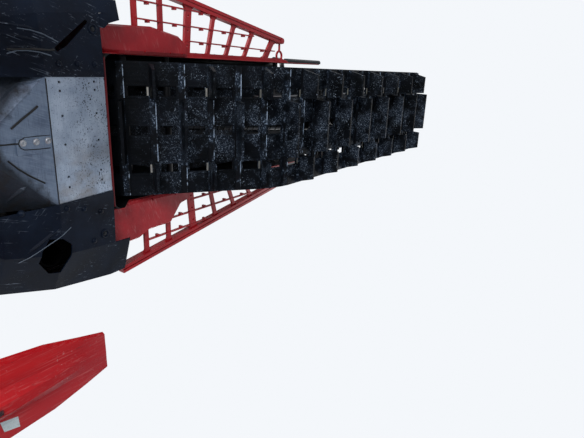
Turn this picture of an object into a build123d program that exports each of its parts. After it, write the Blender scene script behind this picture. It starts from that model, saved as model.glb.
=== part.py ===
"""Mountain snowmobile: long-track machine with a short tunnel, ladder running boards and two skis.

Units are millimetres. +X is the rider's left, +Y is the tail, +Z is up. The origin lies on the snow
under the middle of the machine's outline. Every solid is written to parts/NODE.step.
"""

import os
from math import atan2, ceil, cos, degrees, hypot, pi, radians, sin, tan

from build123d import *

os.makedirs("parts", exist_ok=True)

# Track
TRACK_WIDTH = 406.0
BELT_THICK = 7.0
LUG_HEIGHT = 66.0
LUG_BASE = 15.0
LUG_TIP = 8.0
PITCH_COUNT = 44
WINDOW_WIDTH = 28.0
WINDOW_ROW_X = 117.5
BAR_LENGTH = 34.0
CENTRE_LUG_HALF = 95.0
OUTER_LUG_INNER = 98.0
OUTER_LUG_BASE = 200.0
OUTER_LUG_TIP = 182.0
FIRST_ROW = 34.0
LUG_SUNK = 2.0
FLAT_ANGLE = 10.0

# Wheels that the belt runs round: centre along the machine, height and radius of the belt's inner face
RUN_GAP = 0.3
BELT_FLOOR = LUG_HEIGHT + BELT_THICK
DRIVER_Y = -104.0
DRIVER_Z = 432.0
DRIVER_RADIUS = 100.0
UPPER_WHEEL_Y = 690.0
UPPER_WHEEL_Z = 424.0
UPPER_WHEEL_RADIUS = 66.0
REAR_WHEEL_RADIUS = 102.0
REAR_AXLE_Y = 1464.0
REAR_AXLE_Z = BELT_FLOOR + REAR_WHEEL_RADIUS + RUN_GAP
RAIL_NOSE_Y = 322.0
RAIL_NOSE_RADIUS = 253.0
RAIL_NOSE_Z = BELT_FLOOR + RAIL_NOSE_RADIUS

# Tunnel and running boards
TUNNEL_HALF = 222.0
SHEET = 3.0
TUNNEL_TOP = 636.0
TUNNEL_REAR_Y = 954.0
TUNNEL_BEND = 22.0
BEAD_PLACES = (448.0, 566.0)
BEAD_SPAN = (-20.0, 775.0)
BEAD_WIDE = 16.0
BEAD_RISE = 3.0
BOARD_Z = 358.0
TUNNEL_NOSE_RADIUS = TUNNEL_TOP - DRIVER_Z
RAIL_FRONT_X = 446.0
RAIL_FRONT_Y = -205.0
RAIL_REAR_X = 306.0
RAIL_REAR_Y = 645.0
RAIL_WIDE = 24.0
BOARD_THICK = 22.0
FLANGE_WIDTH = 14.0
WELL_DEPTH = 14.0
TREAD_BAR_THICK = 4.0
TREAD_BAR_TALL = 13.0

# Belly
BELLY_REAR_Y = -262.6
BELLY_REAR_Z = 299.0
BELLY_FOLD_Y = -443.0
BELLY_FOLD_Z = 271.0
BELLY_HALF = 168.0
PLATE_THICK = 4.0
PLATE_HOLES_X = (-120.0, -92.0, -8.0, 64.0, 125.0, 146.0)
PLATE_HOLES_Y = (-405.0, -297.0)
KEEL_FRONT_Y = -580.0
KEEL_FRONT_Z = 266.0
KEEL_EDGE_Z = 322.0
STRAP_FRONT_Y = -532.0
STRAP_HALF = 20.0
STRAP_THICK = 2.5
PAN_INNER = 158.0
PAN_THICK = 4.0
EXHAUST_X = -303.0
EXHAUST_Y = -457.0
EXHAUST_RADIUS = 34.0
EXHAUST_END_Z = 312.0

# Front end
CASTER = 28.0
SKI_STANCE = 934.0
SKI_BOLT_Y = -960.0
SKI_BOLT_Z = 112.0
SKI_HALF = 89.0
SKI_TAIL_Y = -500.0
SKI_TIP_Y = -1612.0
LEG_RADIUS = 15.0
LEG_TOP_Z = 425.0
BOLT_RADIUS = 7.0
PIN_GAP = 0.4
HUB_RADIUS = 20.0
HUB_HALF = 25.0
SADDLE_GAP = 5.0
SADDLE_THICK = 7.0
POST_TOP_Y = -235.0
POST_TOP_Z = 1120.0
POST_RADIUS = 13.0
STEER_ARM = 95.0
STEER_Z = 330.0
EYE_RADIUS = 13.0
EYE_THICK = 14.0
ROD_LIFT = 17.0
ROD_RADIUS = 7.0
STEER_PIN = 5.0
LOWER_BALL_Z = 235.0
UPPER_BALL_Z = 405.0
LOWER_ARM_Z = 345.0
UPPER_ARM_Z = 480.0
LOWER_BUSHES_Y = (-980.0, -660.0)
UPPER_BUSHES_Y = (-900.0, -690.0)
ARM_RADIUS = 11.0
BULKHEAD_HALF = 150.0
BULKHEAD_FRONT_Y = -1030.0
TOWER_Z = 700.0
BAR_RADIUS = 11.0
GRIP_RADIUS = 16.0
GRIP_LENGTH = 125.0

# Rear suspension: shafts as place along the machine, height and radius
RAIL_X = 100.0
RAIL_WIDTH = 14.0
RAIL_TALL = 52.0
FRONT_SHAFT = (75.0, 432.0, 11.0)
FRONT_FOOT = (430.0, 100.0, 10.0)
MIDDLE_FOOT = (540.0, 100.0, 9.0)
SHOCK_FOOT = (715.0, 100.0, 9.0)
REAR_FOOT = (1000.0, 100.0, 10.0)
SHOCK_SHARE = 0.5
UPPER_SHAFT = (UPPER_WHEEL_Y, UPPER_WHEEL_Z, 11.0)
AXLE_RADIUS = 10.0
REAR_WHEELS_X = (58.0, 160.0)
UPPER_WHEELS_X = (80.0,)
RAIL_WHEEL_RADIUS = 62.0
RAIL_WHEELS = (640.0, 1180.0)
RAIL_WHEEL_X = 142.0
WHEEL_WIDE = 22.0
SPROCKETS_X = (62.0, 150.0)

# Top side
ENGINE_X = 120.0
ENGINE_TOP = 560.0
MOUNT_X = (-130.0, 130.0)
MOUNT_Y = (710.0, 870.0)
MOUNT_HOLE = 9.0
SEAT_FRONT = 62.0
SEAT_REAR = 645.0
TANK_REAR = 60.0
TANK_FRONT = -246.0
TANK_WAIST = 168.0
TANK_CROWN = 96.0

SKI_X = SKI_STANCE / 2
AXIS_UP = Vector(0, sin(radians(CASTER)), cos(radians(CASTER)))
AXIS_AHEAD = Vector(0, -cos(radians(CASTER)), sin(radians(CASTER)))


def kingpin(z, side=1):
    """Point on a ski's steering axis at height z."""
    return Vector(side * SKI_X, SKI_BOLT_Y + (z - SKI_BOLT_Z) * tan(radians(CASTER)), z)


def post_axis(z):
    """Point on the steering post's axis at height z."""
    return Vector(0, POST_TOP_Y + (z - POST_TOP_Z) * tan(radians(CASTER)), z)


def save(name, *shapes):
    """Writes one node."""
    solids = [s for shape in shapes for s in shape.solids()]
    export_step(Compound(children=solids), f"parts/{name}.step")


def both(shape):
    """The shape and its mirror image across the machine."""
    return [shape, mirror(shape, about=Plane.YZ)]


def flip(shape):
    return mirror(shape, about=Plane.YZ)


def rod(a, b, radius):
    """Round bar between two points."""
    a, b = Vector(*a), Vector(*b)
    return Solid.make_cylinder(radius, (b - a).length, Plane(origin=a, z_dir=b - a))


def tube_along(points, radius, bend, hollow=0.0):
    """Round tube along straight runs joined by arcs."""
    path = FilletPolyline(*points, radius=bend) if len(points) > 2 else Line(*points)
    start = Plane(origin=path @ 0, z_dir=path % 0)
    ring = Circle(radius) - Circle(radius - hollow) if hollow else Circle(radius)
    return sweep(start * ring, path=path)


def side_slab(points, x0, x1):
    """Flat plate: an outline of (y, z) points, extruded from x0 to x1."""
    face = make_face(Plane.YZ * Polyline(*points, close=True))
    return Pos(x0, 0, 0) * extrude(face, x1 - x0, dir=(1, 0, 0))


def box_between(x, y, z):
    """Box from three (low, high) pairs."""
    size = [b - a for a, b in (x, y, z)]
    middle = [(a + b) / 2 for a, b in (x, y, z)]
    return Pos(*middle) * Box(*size)


def cross_face(y, points):
    """Face across the machine at y, from (x, z) points."""
    plane = Plane(origin=(0, y, 0), x_dir=(1, 0, 0), z_dir=(0, -1, 0))
    return make_face(plane * Polyline(*points, close=True))


def inward(points, thick):
    """Open outline moved sideways by thick, to the left of its own direction."""
    normals = []
    for (x0, z0), (x1, z1) in zip(points, points[1:]):
        run = hypot(x1 - x0, z1 - z0)
        normals.append(((z0 - z1) / run, (x1 - x0) / run))
    moved = []
    for i, (x, z) in enumerate(points):
        a = normals[max(i - 1, 0)]
        b = normals[min(i, len(normals) - 1)]
        scale = thick / (1 + a[0] * b[0] + a[1] * b[1])
        moved.append((x + (a[0] + b[0]) * scale, z + (a[1] + b[1]) * scale))
    return moved


def skin(stations, thick):
    """Moulded panel: open outlines of (x, z) points at places along the machine, given a thickness."""
    faces = []
    for y, outline in stations:
        faces.append(cross_face(y, outline + inward(outline, thick)[::-1]))
    return loft(faces, ruled=True)


def across(half):
    """Whole outline from left to right, from the left half's points ending at the middle."""
    return half + [(-x, z) for x, z in half[::-1] if x > 0]


# Track loop: circles in the order the belt meets them, along the floor from the tail
CIRCLES = [
    (REAR_AXLE_Y, REAR_AXLE_Z, REAR_WHEEL_RADIUS + RUN_GAP),
    (RAIL_NOSE_Y, RAIL_NOSE_Z, RAIL_NOSE_RADIUS),
    (DRIVER_Y, DRIVER_Z, DRIVER_RADIUS),
    (UPPER_WHEEL_Y, UPPER_WHEEL_Z, UPPER_WHEEL_RADIUS + RUN_GAP),
]


def outward_normals():
    """Outward normal of each straight run, from one circle to the next."""
    found = []
    for (y0, z0, r0), (y1, z1, r1) in zip(CIRCLES, CIRCLES[1:] + CIRCLES[:1]):
        gap = hypot(y1 - y0, z1 - z0)
        along = ((y1 - y0) / gap, (z1 - z0) / gap)
        lean = (r0 - r1) / gap
        upright = (1 - lean * lean) ** 0.5
        found.append((along[0] * lean - along[1] * upright, along[1] * lean + along[0] * upright))
    return found


NORMALS = outward_normals()


def loop_pieces(offset):
    """Straight runs and arcs of the loop at a distance outside the belt's inner face."""
    pieces = []
    for i, (y, z, r) in enumerate(CIRCLES):
        before, after = NORMALS[i - 1], NORMALS[i]
        radius = r + offset
        start = atan2(before[1], before[0])
        turn = (start - atan2(after[1], after[0])) % (2 * pi)
        pieces.append(("arc", (y, z), radius, start, turn))
        y1, z1, r1 = CIRCLES[(i + 1) % len(CIRCLES)]
        a = (y + radius * after[0], z + radius * after[1])
        b = (y1 + (r1 + offset) * after[0], z1 + (r1 + offset) * after[1])
        pieces.append(("run", a, b, after))
    return pieces


def loop_face(offset):
    """Closed outline of the loop; a round stretch is a row of short flats that touch its circle."""
    corners = []
    for piece in loop_pieces(offset):
        if piece[0] == "run":
            continue
        _, (y, z), radius, start, turn = piece
        count = ceil(degrees(turn) / FLAT_ANGLE)
        step = turn / count
        reach = radius / cos(step / 2)
        for k in range(count):
            angle = start - (k + 0.5) * step
            corners.append((0, y + reach * cos(angle), z + reach * sin(angle)))
    return make_face(Polyline(*corners, close=True))


def loop_length(offset):
    total = 0.0
    for piece in loop_pieces(offset):
        if piece[0] == "run":
            total += hypot(piece[2][0] - piece[1][0], piece[2][1] - piece[1][1])
        else:
            total += piece[2] * piece[4]
    return total


def on_loop(distance):
    """Plane on the belt's outer face: x across the machine, z out of the belt."""
    middle = BELT_THICK / 2
    left = distance % loop_length(middle)
    pieces = loop_pieces(middle)
    for piece in pieces[1:] + pieces[:1]:
        if piece[0] == "run":
            length = hypot(piece[2][0] - piece[1][0], piece[2][1] - piece[1][1])
        else:
            length = piece[2] * piece[4]
        if left <= length:
            break
        left -= length
    if piece[0] == "run":
        share = left / length
        y = piece[1][0] + (piece[2][0] - piece[1][0]) * share
        z = piece[1][1] + (piece[2][1] - piece[1][1]) * share
        ny, nz = piece[3]
    else:
        angle = piece[3] - left / piece[2]
        ny, nz = cos(angle), sin(angle)
        y, z = piece[1][0] + piece[2] * ny, piece[1][1] + piece[2] * nz
    origin = (0, y + middle * ny, z + middle * nz)
    return Plane(origin=origin, x_dir=(1, 0, 0), z_dir=(0, ny, nz))


PITCH = loop_length(BELT_THICK / 2) / PITCH_COUNT


def lug(plane, base, tip):
    """One tall paddle with flat sides: base and tip are (low, high) places across the belt."""
    rings = []
    for (low, high), wide, z in ((base, LUG_BASE, -LUG_SUNK), (tip, LUG_TIP, LUG_HEIGHT)):
        corners = [(low, -wide / 2, z), (high, -wide / 2, z), (high, wide / 2, z), (low, wide / 2, z)]
        rings.append([plane.from_local_coords(Vector(*c)) for c in corners])
    foot, top = rings
    walls = [[foot[i], foot[(i + 1) % 4], top[(i + 1) % 4], top[i]] for i in range(4)]
    return Solid(Shell([Face(Wire.make_polygon(ring, close=True)) for ring in (foot, top, *walls)]))


def make_track():
    belt = extrude(loop_face(BELT_THICK) - loop_face(0.0), TRACK_WIDTH / 2, dir=(1, 0, 0), both=True)
    lugs, windows = [], []
    for row in range(PITCH_COUNT):
        plane = on_loop(FIRST_ROW + row * PITCH)
        if row % 2:
            lugs.append(lug(plane, (-CENTRE_LUG_HALF, CENTRE_LUG_HALF), (-CENTRE_LUG_HALF + 4, CENTRE_LUG_HALF - 4)))
        else:
            paddle = lug(plane, (OUTER_LUG_INNER, OUTER_LUG_BASE), (OUTER_LUG_INNER + 4, OUTER_LUG_TIP))
            lugs += both(paddle)
        between = on_loop(FIRST_ROW + (row + 0.5) * PITCH)
        for x in (-WINDOW_ROW_X, 0, WINDOW_ROW_X):
            windows.append(between * Pos(x, 0, 0) * Box(WINDOW_WIDTH, PITCH - BAR_LENGTH, 6 * BELT_THICK))
    return belt.fuse(*lugs).cut(*windows)


def wheel(x, y, z, radius, wide):
    """Idler wheel: rubber rim, thin web and hub."""
    hub, web, rim = 17.0, 5.0, 12.0
    half = [(9.0, wide / 2 + 3), (hub, wide / 2 + 3), (hub, web / 2), (radius - rim, web / 2),
            (radius - rim, wide / 2), (radius - 1.5, wide / 2), (radius, wide / 2 - 1.5)]
    outline = half + [(r, -w) for r, w in half[::-1]]
    face = make_face(Plane.XZ * Polyline(*[(w, r) for r, w in outline], close=True))
    return Pos(x, y, z) * revolve(face, Axis.X)


def make_tunnel():
    cy, cz = DRIVER_Y, DRIVER_Z

    def outline(radius, top, rear, low):
        foot_z = BELLY_REAR_Z
        foot_y = cy - (radius**2 - (cz - foot_z) ** 2) ** 0.5
        nose = ThreePointArc((0, foot_y, foot_z), (0, cy - radius, cz), (0, cy, top))
        rest = Polyline((0, cy, top), (0, rear, top), (0, rear, low), (0, cy - 60, low),
                        (0, cy - 60 - (low - foot_z), foot_z), (0, foot_y, foot_z))
        return make_face(Wire([nose, *rest.edges()]))

    whole = outline(TUNNEL_NOSE_RADIUS, TUNNEL_TOP, TUNNEL_REAR_Y, BOARD_Z)
    body = extrude(whole, TUNNEL_HALF, dir=(1, 0, 0), both=True)
    top_edges = body.edges().filter_by(Axis.Y).group_by(Axis.Z)[-1]
    body = fillet(top_edges, TUNNEL_BEND)
    r_in, top_in = TUNNEL_NOSE_RADIUS - SHEET, TUNNEL_TOP - SHEET
    arc = ThreePointArc((0, cy, cz - r_in), (0, cy - r_in, cz), (0, cy, top_in))
    rest = Polyline((0, cy, top_in), (0, TUNNEL_REAR_Y + 50, top_in), (0, TUNNEL_REAR_Y + 50, 100),
                    (0, cy, 100), (0, cy, cz - r_in))
    hollow = extrude(make_face(Wire([arc, *rest.edges()])), TUNNEL_HALF - SHEET, dir=(1, 0, 0), both=True)
    inner_edges = [e for e in hollow.edges().filter_by(Axis.Y) if abs(e.center().Z - top_in) < 0.1]
    hollow = fillet(inner_edges, TUNNEL_BEND - SHEET)
    beads = []
    for z in BEAD_PLACES:
        bead = box_between((TUNNEL_HALF - 1, TUNNEL_HALF + BEAD_RISE), BEAD_SPAN, (z - BEAD_WIDE / 2, z + BEAD_WIDE / 2))
        outer = bead.faces().sort_by(Axis.X)[-1]
        beads += both(chamfer(outer.edges(), BEAD_RISE - 0.5))
    return (body - hollow).fuse(*beads)


def rail_x(y):
    """Middle of the outer rail of a running board."""
    return RAIL_FRONT_X + (RAIL_REAR_X - RAIL_FRONT_X) * (y - RAIL_FRONT_Y) / (RAIL_REAR_Y - RAIL_FRONT_Y)


def plan_slab(points, z0, z1):
    """Flat plate from (x, y) points between two heights."""
    return Pos(0, 0, z0) * extrude(make_face(Polyline(*points, close=True)), z1 - z0)


# Rungs of a running board: place at the tunnel, place at the outer rail, width
RUNGS = [
    (-98, -98, 16),
    (0, 0, 16),
    (106, 120, 27),
    (206, 240, 15),
    (300, 350, 15),
    (404, 456, 15),
    (534, 588, 24),
]
RUNG_DEEP = 10
# Tread bars: (x, y) at the front and at the rear
TREAD_BARS = [((375, -98), (365, 262)), ((324, -98), (312, 462)), ((273, 108), (264, 600))]


def slanted(a, b, wide, z0, z1, flare=0.0):
    """Flat bar between two (x, y) points, widened by flare at both ends."""
    run = hypot(b[0] - a[0], b[1] - a[1])
    along = ((b[0] - a[0]) / run, (b[1] - a[1]) / run)
    across_dir = (-along[1], along[0])
    spots = [(0, wide / 2 + flare), (12, wide / 2), (run - 12, wide / 2), (run, wide / 2 + flare)]
    if not flare:
        spots = [spots[0], spots[-1]]
    both_sides = spots + [(t, -w) for t, w in spots[::-1]]
    return plan_slab([(a[0] + along[0] * t + across_dir[0] * w, a[1] + along[1] * t + across_dir[1] * w)
                      for t, w in both_sides], z0, z1)


def make_board():
    """Ladder running board: grooved outer rail, flared rungs, thin tread bars with stubs, and an end loop."""
    z0, z1 = BOARD_Z, BOARD_Z + BOARD_THICK
    inner = TUNNEL_HALF + RUN_GAP
    front, rear = Vector(RAIL_FRONT_X, RAIL_FRONT_Y, z0 + 11), Vector(RAIL_REAR_X, RAIL_REAR_Y, z0 + 11)
    half = RAIL_WIDE / 2
    profile = [(-half, -15), (-2, -15), (-2, -11), (2, -11), (2, -15), (half, -15), (half, 10), (half - 6, 15),
               (-half, 15)]
    start = Plane(origin=front, x_dir=(1, 0, 0), z_dir=rear - front)
    rail = extrude(make_face(start * Polyline(*[(x, -y) for x, y in profile], close=True)), (rear - front).length,
                   dir=tuple((rear - front).normalized()))
    flange = plan_slab([(inner, -150), (inner + FLANGE_WIDTH, -150), (inner + FLANGE_WIDTH, 650),
                        (inner + 6, 690), (inner, 690)], z0, z1)
    pieces = [rail]
    for y_in, y_out, wide in RUNGS:
        ends = (inner + 4, y_in), (rail_x(y_out) - half + 2, y_out)
        rung = slanted(*ends, wide, z0 + 4, z0 + 4 + RUNG_DEEP, 8)
        if wide > 25:
            holes = [Pos(ends[0][0] + (ends[1][0] - ends[0][0]) * t, y_in + (y_out - y_in) * t, z0) *
                     Cylinder(4, 60) for t in (0.2, 0.5, 0.8)]
            rung = rung.cut(*holes)
        pieces.append(rung)
    for a, b in TREAD_BARS:
        pieces.append(slanted(a, b, TREAD_BAR_THICK, z0 + 2, z0 + TREAD_BAR_TALL))
        for (_, y0, _), (_, y1, _) in zip(RUNGS, RUNGS[1:]):
            y = (y0 + y1) / 2
            if a[1] < y < b[1]:
                x = a[0] + (b[0] - a[0]) * (y - a[1]) / (b[1] - a[1])
                pieces.append(box_between((x - 8, x), (y - 4, y + 4), (z0 + 2, z0 + TREAD_BAR_TALL + 4)))
    loop_at = RAIL_REAR_Y - 6
    pieces.append(Pos(inner + 25, loop_at, z0 + 9) * Torus(18, 4.5))
    pieces.append(rod((inner + 42, loop_at, z0 + 9), (RAIL_REAR_X, loop_at, z0 + 9), 4.5))
    pieces.append(Pos(RAIL_REAR_X, RAIL_REAR_Y - 2, z0 + 11) * Cylinder(half - 1, 34))
    return flange.fuse(*pieces) - box_between((0, inner), (RAIL_FRONT_Y, TUNNEL_REAR_Y), (z0 - 40, z1 + 40))


# Foot pocket floor: outline as (distance out from the tunnel side, place); the right one is wider
WELL_LEFT = [(74, -246), (77, -200), (82, -50), (62, 60), (40, 92)]
WELL_RIGHT = [(130, -246), (134, -203), (131, -140), (112, -98), (110, -4), (52, 44), (40, 92)]


def make_footwell(edge):
    """Closed foot pocket floor beside the tunnel: a dished pan that reaches under the ladder's flange."""
    x0 = TUNNEL_HALF + RUN_GAP
    strip = FLANGE_WIDTH + 1
    rim = [(TUNNEL_HALF + x, y) for x, y in edge]
    low, under, high = BOARD_Z - WELL_DEPTH, BOARD_Z - RUN_GAP, BOARD_Z + 2 - RUN_GAP
    pan = plan_slab([(x0, edge[0][1]), *rim, (x0, edge[-1][1])], low, under)
    pan = fillet(pan.edges().filter_by(Axis.Z).sort_by(Axis.X)[2:], 12)
    pan = chamfer(pan.faces().sort_by(Axis.Z)[0].edges(), 9, 6)
    top = plan_slab([(x0, edge[0][1]), *rim, (x0 + strip, 96), (x0 + strip, -152), (x0, -152)], under - 1, high)
    return pan.fuse(top)


def make_belly_plate():
    rows = []
    for y, z in ((BELLY_REAR_Y, BELLY_REAR_Z), (BELLY_FOLD_Y, BELLY_FOLD_Z)):
        rows.append((y, [(BELLY_HALF, z), (-BELLY_HALF, z)]))
    plate = skin(rows, -PLATE_THICK)
    holes = [Pos(x, y, BELLY_REAR_Z - 10) * Cylinder(3.2, 60) for x in PLATE_HOLES_X for y in PLATE_HOLES_Y]
    return plate.cut(*holes)


# Half outlines of the upper body: crown edge, shoulder, waist and sill as (x, z), with the crown's height
BODY = [
    # y, crown z, crown edge, shoulder, waist, sill
    (-1316, 626, (80, 624), (148, 613), (172, 570), (160, 516)),
    (-1130, 748, (120, 740), (240, 694), (322, 622), (292, 548)),
    (-900, 862, (150, 852), (318, 792), (436, 686), (404, 578)),
    (-660, 950, (165, 938), (340, 868), (474, 706), (446, 548)),
    (-420, 992, (150, 980), (300, 900), (458, 716), (444, 520)),
    (-208, 985, (130, 970), (236, 872), (396, 690), (440, 480)),
]
BODY_THICK = 4.0
PANEL_GAP = 3.0
LIP_LENGTH = 22.0
BODY_REAR_Y = BODY[-1][0]
DASH_THICK = 5.0
VENT_PLACES = (-930.0, -868.0, -806.0, -744.0)
VENT_Z = 714.0
VENT_TALL = 66.0
VENT_WIDE = 28.0
VENT_LEAN = 40.0


def body_row(y):
    """Body outline values at y, straight between the stations."""
    for low, high in zip(BODY, BODY[1:]):
        if y <= high[0]:
            break
    share = (y - low[0]) / (high[0] - low[0])

    def mix(a, b):
        if isinstance(a, tuple):
            return tuple(p + (q - p) * share for p, q in zip(a, b))
        return a + (b - a) * share

    return tuple(mix(a, b) for a, b in zip(low[1:], high[1:]))


def hood_stations(places, spine=None):
    """Hood outlines at the places; a spine adds a raised middle of the given heights."""
    rows = []
    for i, y in enumerate(places):
        crown, edge, shoulder, _, _ = body_row(y)
        half = [shoulder, edge, (0, crown)]
        if spine:
            foot, ledge = edge[0] * SPINE_FOOT, edge[0] * SPINE_LEDGE
            slope = (crown - edge[1]) / edge[0]
            half[2:] = [(foot, crown - foot * slope), (ledge, crown - ledge * slope + spine[i]), (0, crown + spine[i])]
        rows.append((y, across(half)))
    return rows


def step_along(a, b, distance):
    """Point at a distance from a towards b."""
    run = hypot(b[0] - a[0], b[1] - a[1])
    return (a[0] + (b[0] - a[0]) * distance / run, a[1] + (b[1] - a[1]) * distance / run)


def lip(edge, onward):
    """Two points of a lip that lies inside a neighbour's edge and follows it onward."""
    start, end = inward([edge, step_along(edge, onward, LIP_LENGTH)], BODY_THICK + RUN_GAP)
    return [start, end]


def side_stations(places):
    rows = []
    for y in places:
        _, edge, shoulder, waist, sill = body_row(y)
        rows.append((y, [sill, waist, step_along(shoulder, waist, PANEL_GAP), *lip(shoulder, edge)]))
    return rows


HOOD_PLACES = (-1316, -1130, -900, -660, -600)
SPINE_RISE = (0.5, 12, 18, 8, 0.5)
SPINE_FOOT = 0.62
SPINE_LEDGE = 0.48
SIDE_PLACES = (-1128, -900, -660, -420, -208)


def make_hood():
    return skin(hood_stations(HOOD_PLACES, SPINE_RISE), BODY_THICK)


def make_console():
    shell = skin(hood_stations((-597, -420, BODY_REAR_Y)), BODY_THICK)
    well = box_between((-75, 75), (-440, BODY_REAR_Y + 20), (860, 1060))
    return shell - well


def make_dash():
    """Panel that closes the engine bay behind the shell, cut out for the tank and the tunnel."""
    crown, edge, shoulder, waist, sill = body_row(BODY_REAR_Y)
    half = inward([sill, waist, shoulder, edge, (0, crown)], 1.0)[:-1] + [(0, crown - 1)]
    low = (half[0][0] - 4, BOARD_Z + BOARD_THICK + 7)
    right = [low, *half]
    outline = right + [(-x, z) for x, z in right[-2::-1]]
    rear = BODY_REAR_Y + RUN_GAP
    plate = extrude(cross_face(rear, outline), DASH_THICK, dir=(0, 1, 0))
    nose_z = DRIVER_Z + (TUNNEL_NOSE_RADIUS**2 - (rear + DASH_THICK - DRIVER_Y) ** 2) ** 0.5
    opening = [(TANK_WAIST + 5, 300), (TANK_WAIST + 5, 763), (TANK_CROWN + 5, 936)]
    tank = extrude(cross_face(rear + 40, opening + [(-x, z) for x, z in opening[::-1]]), 80, dir=(0, -1, 0))
    tunnel = box_between((-TUNNEL_HALF - RUN_GAP, TUNNEL_HALF + RUN_GAP), (rear - 9, 0), (300, nose_z + 2))
    return plate.cut(tank, tunnel)


def make_side_panel():
    """Side shell with a row of slanted air slots below the shoulder."""
    shell = skin(side_stations(SIDE_PLACES), BODY_THICK)
    slots = [side_slab([(y, VENT_Z), (y + VENT_WIDE, VENT_Z), (y + VENT_WIDE + VENT_LEAN, VENT_Z + VENT_TALL),
                        (y + VENT_LEAN, VENT_Z + VENT_TALL)], 200, 600) for y in VENT_PLACES]
    return shell.cut(*slots)


def make_vent_insert():
    """Dark backing plate close behind the air slots."""
    rows = []
    for y in (VENT_PLACES[0] - 22, -900, VENT_PLACES[-1] + VENT_WIDE + VENT_LEAN + 16):
        _, _, shoulder, waist, _ = body_row(y)
        ends = [step_along(waist, shoulder, 6), step_along(shoulder, waist, 8)]
        rows.append((y, inward(ends, BODY_THICK + RUN_GAP)))
    return skin(rows, 3.0)


# Nose cover: place, half width low, half width high, low z, high z
NOSE = [
    (-1318, 92, 150, 470, 610),
    (-1240, 128, 196, 372, 560),
    (-1130, 158, 286, 318, 542),
    (BULKHEAD_FRONT_Y - RUN_GAP, 168, 300, 300, 536),
]


def make_nose():
    """Lower front cover in dark plastic, wrapped round the front of the bulkhead."""
    outer, inner = [], []
    for y, low, high, z0, z1 in NOSE:
        outer.append(cross_face(y, [(-low, z0), (low, z0), (high, z1), (-high, z1)]))
        inside = [(-low + 5, z0 + 5), (low - 5, z0 + 5), (high - 5, z1 + 9), (-high + 5, z1 + 9)]
        inner.append(cross_face(y + 5, inside))
    return loft(outer, ruled=True) - loft(inner, ruled=True)


# Belly pan, left half: place, edge of the flat, bilge as (x, z)
PAN = [
    (-640, (240, 300), (352, 380)),
    (-585, (270, 284), (388, 356)),
    (-443, (300, 276), (420, 340)),
    (-420, (303, 280), (422, 340)),
    (BELLY_REAR_Y, (320, 301), (436, 340)),
]
HEEL_REAR_Y = BODY_REAR_Y
PAN_FLAT = 14.0
# Outlines on the pans as (distance from the middle, place)
OUTLET = [(245, -477), (254, -440), (278, -414), (314, -416), (361, -438), (354, -471), (309, -503), (275, -497)]
LEFT_FOLDS = [[(211, -540), (222, -505), (223, -470), (216, -430)], [(272, -545), (266, -470), (258, -395)],
              [(250, -545), (243, -480), (236, -436)]]
RIGHT_FOLD = [(212, -425), (232, -470), (258, -515), (284, -566)]
KEEL_FOLDS = [[(106, -548), (130, -527), (144, -505), (149, -482), (148, -456)],
              [(-134, -556), (-104, -527), (-78, -506)]]


def plate_z(y):
    """Underside of the belly plate at y, and of the keel ahead of it."""
    return BELLY_FOLD_Z + (BELLY_REAR_Z - BELLY_FOLD_Z) * (y - BELLY_FOLD_Y) / (BELLY_REAR_Y - BELLY_FOLD_Y)


def pan_under(x, y):
    """Underside of the left belly pan at a place, straight between its stations."""
    for low, high in zip(PAN, PAN[1:]):
        if y <= high[0]:
            break
    share = (y - low[0]) / (high[0] - low[0])
    flat, bilge = (tuple(p + (q - p) * share for p, q in zip(a, b)) for a, b in zip(low[1:], high[1:]))
    start = (PAN_INNER + PAN_FLAT, plate_z(max(y, BELLY_FOLD_Y)) - PAN_THICK - RUN_GAP)
    a, b = (start, flat) if x < flat[0] else (flat, bilge)
    return a[1] + (b[1] - a[1]) * (x - a[0]) / (b[0] - a[0])


def ridge(points, under, wide=7.0, tall=4.0):
    """Raised fold along (x, y) points on an underside, fading out at both ends."""
    faces = []
    for i, (x, y) in enumerate(points):
        before, after = points[max(i - 1, 0)], points[min(i + 1, len(points) - 1)]
        run = hypot(after[0] - before[0], after[1] - before[1])
        nx, ny = (before[1] - after[1]) / run * wide, (after[0] - before[0]) / run * wide
        rise = tall if 0 < i < len(points) - 1 else 0.4
        corners = [(x + nx, y + ny, under(x + nx, y + ny) + 1.5), (x - nx, y - ny, under(x - nx, y - ny) + 1.5),
                   (x, y, under(x, y) - rise)]
        faces.append(Face(Wire.make_polygon([Vector(*c) for c in corners], close=True)))
    return loft(faces, ruled=True)


def pan_top(y):
    """Upper end of the belly pan's outline: below the side panel's sill, then a lip inside the panel."""
    _, _, _, waist, sill = body_row(y)
    below = (sill[0] - 1, sill[1] - PANEL_GAP)
    return [below, *lip(sill, waist)]


def make_pan():
    rows = []
    for y, flat, bilge in PAN:
        z = plate_z(max(y, BELLY_FOLD_Y)) - PAN_THICK - RUN_GAP
        rows.append((y, [(PAN_INNER, z), (PAN_INNER + PAN_FLAT, z), flat, bilge, *pan_top(y)]))
    last = rows[-1][1]
    heel = [(BELLY_REAR_Y, last[2:]), (HEEL_REAR_Y, [(322, 304), (434, 342), *pan_top(HEEL_REAR_Y)])]
    return skin(rows, PAN_THICK) + skin(heel, PAN_THICK)


def cut_vent(pan):
    """Slanted vent slit of the left pan, with the folds ahead of it."""
    slit = Polyline((216, -402), (226, -408), (300, -306), (292, -300), (232, -372), close=True)
    folds = [ridge(points, pan_under) for points in LEFT_FOLDS]
    return pan.fuse(*folds) - Pos(0, 0, 240) * extrude(make_face(slit), 70)


def cut_outlet(pan):
    """Angular exhaust opening of the other pan, drawn on the left, with the fold beside it."""
    opening = plan_slab(OUTLET, 230, 400)
    return pan.fuse(ridge(RIGHT_FOLD, pan_under)) - opening


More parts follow.
